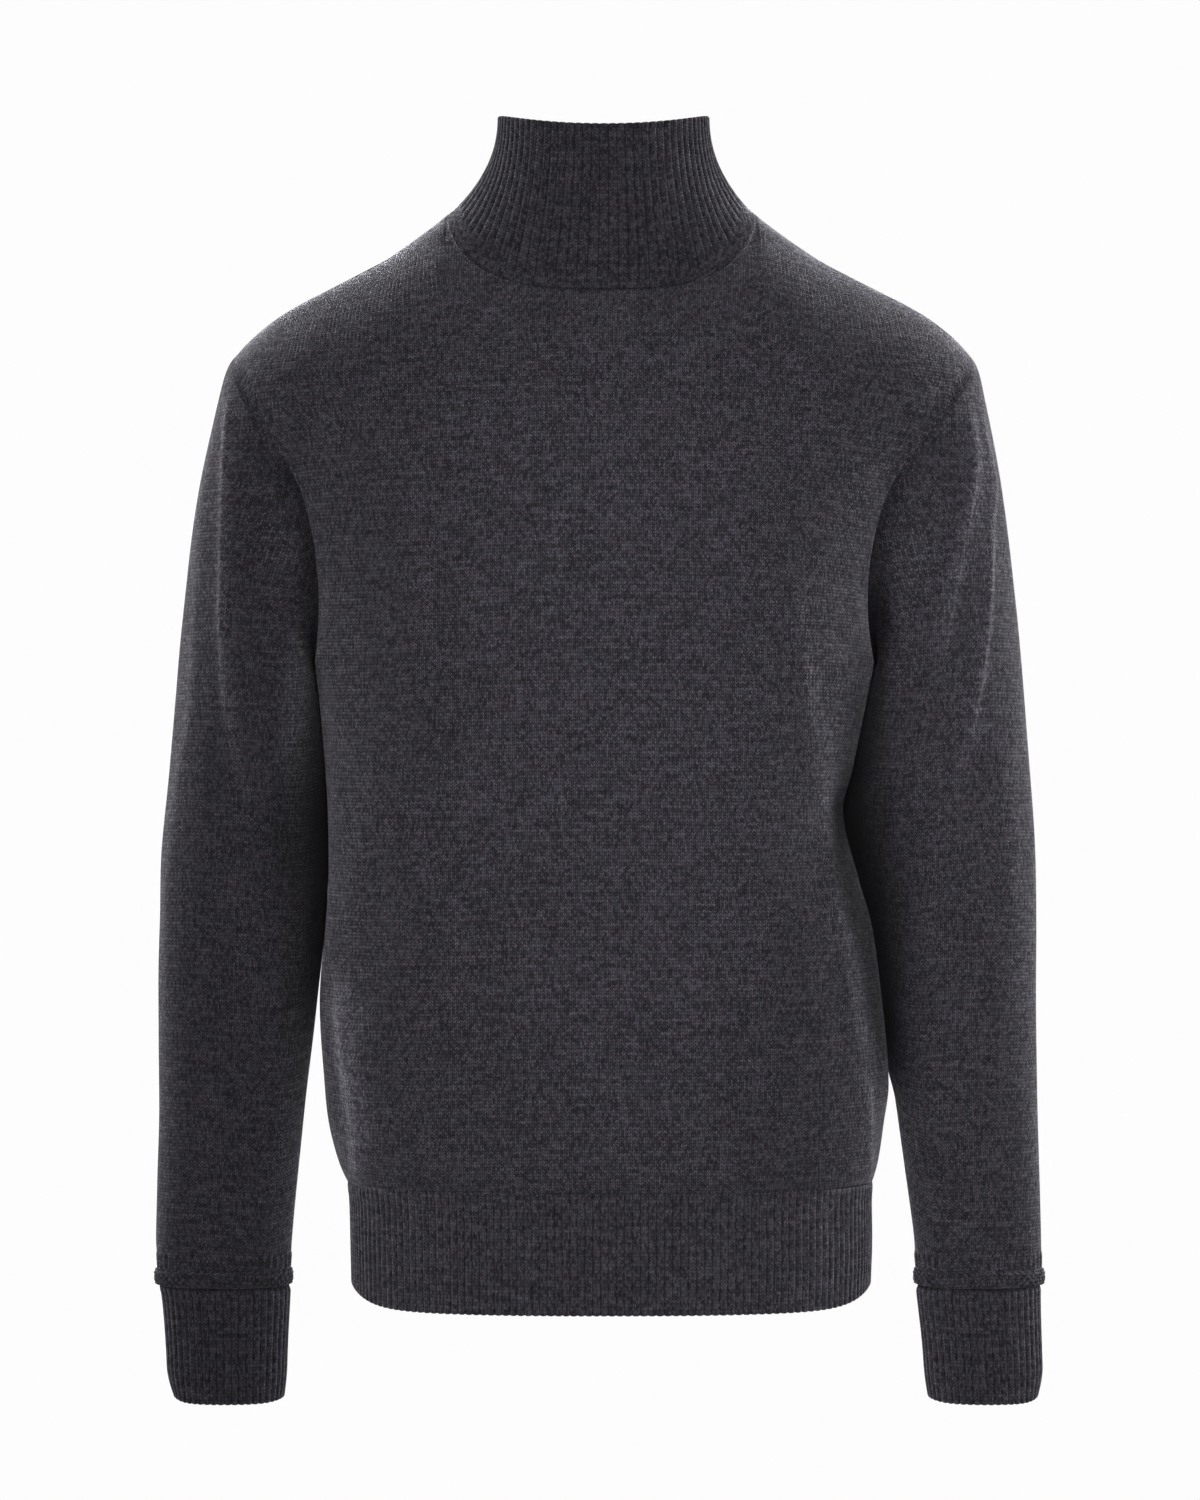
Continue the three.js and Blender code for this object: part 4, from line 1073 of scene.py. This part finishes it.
    # Fuzz: more sheen where the yarn's tone, painted light and shade included, is lighter, and
    # where the cloth turns away from the eye.
    turned = g.tree.nodes.new("ShaderNodeLayerWeight").outputs["Facing"]
    fuzz = g.mul(tone, g.add(g.mul(g.math("POWER", turned, 4.0), 5.0), 1.0))
    g.put(g.shader.inputs["Sheen Weight"], g.span(fuzz, 0.0, 5.8, 0.02, 1.0))
    g.shader.inputs["Sheen Roughness"].default_value = 0.24
    g.shader.inputs["Sheen Tint"].default_value = (0.8, 0.78, 0.86, 1)
    return g.material


PLAIN_YARN = (0.036, 0.0335, 0.041)
RIB_YARN = (0.034, 0.0315, 0.0385)
COLLAR_YARN = tuple(c * 0.9 for c in RIB_YARN)
# How dark the painted shade between stitches is, in plain knit and in ribs.
PLAIN_DEPTH, RIB_DEPTH = 0.62, 0.5
MATERIALS = dict(
    body_knit=knit_material("body_knit", PLAIN_YARN, PLAIN_DEPTH, False),
    sleeve_knit=knit_material("sleeve_knit", PLAIN_YARN, PLAIN_DEPTH, False),
    collar_rib=knit_material("collar_rib", COLLAR_YARN, RIB_DEPTH, True, True),
    hem_rib=knit_material("hem_rib", RIB_YARN, RIB_DEPTH, True),
    cuff_rib=knit_material("cuff_rib", RIB_YARN, RIB_DEPTH, True),
)
for piece, flat, area in PIECES:
    piece.data.materials.append(MATERIALS[piece["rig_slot"]])

# ---- surroundings ----
scene = bpy.context.scene
scene.view_settings.view_transform = "Standard"
# The camera sees a white studio; the pieces get a dimmer light from all round.
world = bpy.data.worlds.new("studio")
world.use_nodes = True
sky = world.node_tree
sky.nodes["Background"].inputs[0].default_value = (0.98, 0.98, 0.98, 1)
fill = sky.nodes.new("ShaderNodeBackground")
fill.inputs[0].default_value = (0.95, 0.95, 1.0, 1)
fill.inputs[1].default_value = 0.17
seen = sky.nodes.new("ShaderNodeLightPath")
blend = sky.nodes.new("ShaderNodeMixShader")
sky.links.new(seen.outputs["Is Camera Ray"], blend.inputs[0])
sky.links.new(fill.outputs[0], blend.inputs[1])
sky.links.new(sky.nodes["Background"].outputs[0], blend.inputs[2])
sky.links.new(blend.outputs[0], sky.nodes["World Output"].inputs[0])
scene.world = world

FLOOR_HALF = 2.4
corners = [(x * FLOOR_HALF, y * FLOOR_HALF, 0) for x, y in ((-1, -1), (1, -1), (1, 1), (-1, 1))]
floor_mesh = bpy.data.meshes.new("floor")
floor_mesh.from_pydata(corners, [], [(0, 1, 2, 3)])
floor = bpy.data.objects.new("floor", floor_mesh)
floor.location = (0, 0.3, -1.45)
scene.collection.objects.link(floor)
g = Graph("floor_pale")
g.shader.inputs["Base Color"].default_value = (0.8, 0.8, 0.8, 1)
g.shader.inputs["Roughness"].default_value = 0.9
g.shader.inputs["Emission Color"].default_value = (1, 1, 1, 1)
g.shader.inputs["Emission Strength"].default_value = 0.25
floor_mesh.materials.append(g.material)


def area_light(name, place, aim, size, power, spread=180):
    """A round lamp at a place, aimed at another; spread is in degrees."""
    light = bpy.data.lights.new(name, "AREA")
    light.shape = "DISK"
    light.size = size
    light.energy = power
    light.spread = math.radians(spread)
    lamp = bpy.data.objects.new(name, light)
    lamp.location = place
    way = np.array(aim, float) - np.array(place, float)
    lamp.rotation_euler = (
        math.atan2(math.hypot(way[0], way[1]), -way[2]), 0, math.atan2(-way[0], way[1]))
    scene.collection.objects.link(lamp)


area_light("side_right", (2.5, -1.25, 0.5), (0, 0, -0.3), 1.5, 2)
area_light("side_left", (-2.5, -1.1, 0.3), (0, 0, -0.3), 1.5, 1)
area_light("front", (0.12, -2.7, 0.5), (0.12, 0, -0.32), 0.8, 5.15, 42)
area_light("top", (0, 1.2, 2.1), (0, 0, -0.1), 1.5, 66)
area_light("rim_right", (2.0, 1.9, 0.2), (0, 0, -0.35), 1.4, 42)
area_light("rim_left", (-2.0, 1.8, 0.2), (0, 0, -0.35), 1.4, 84)
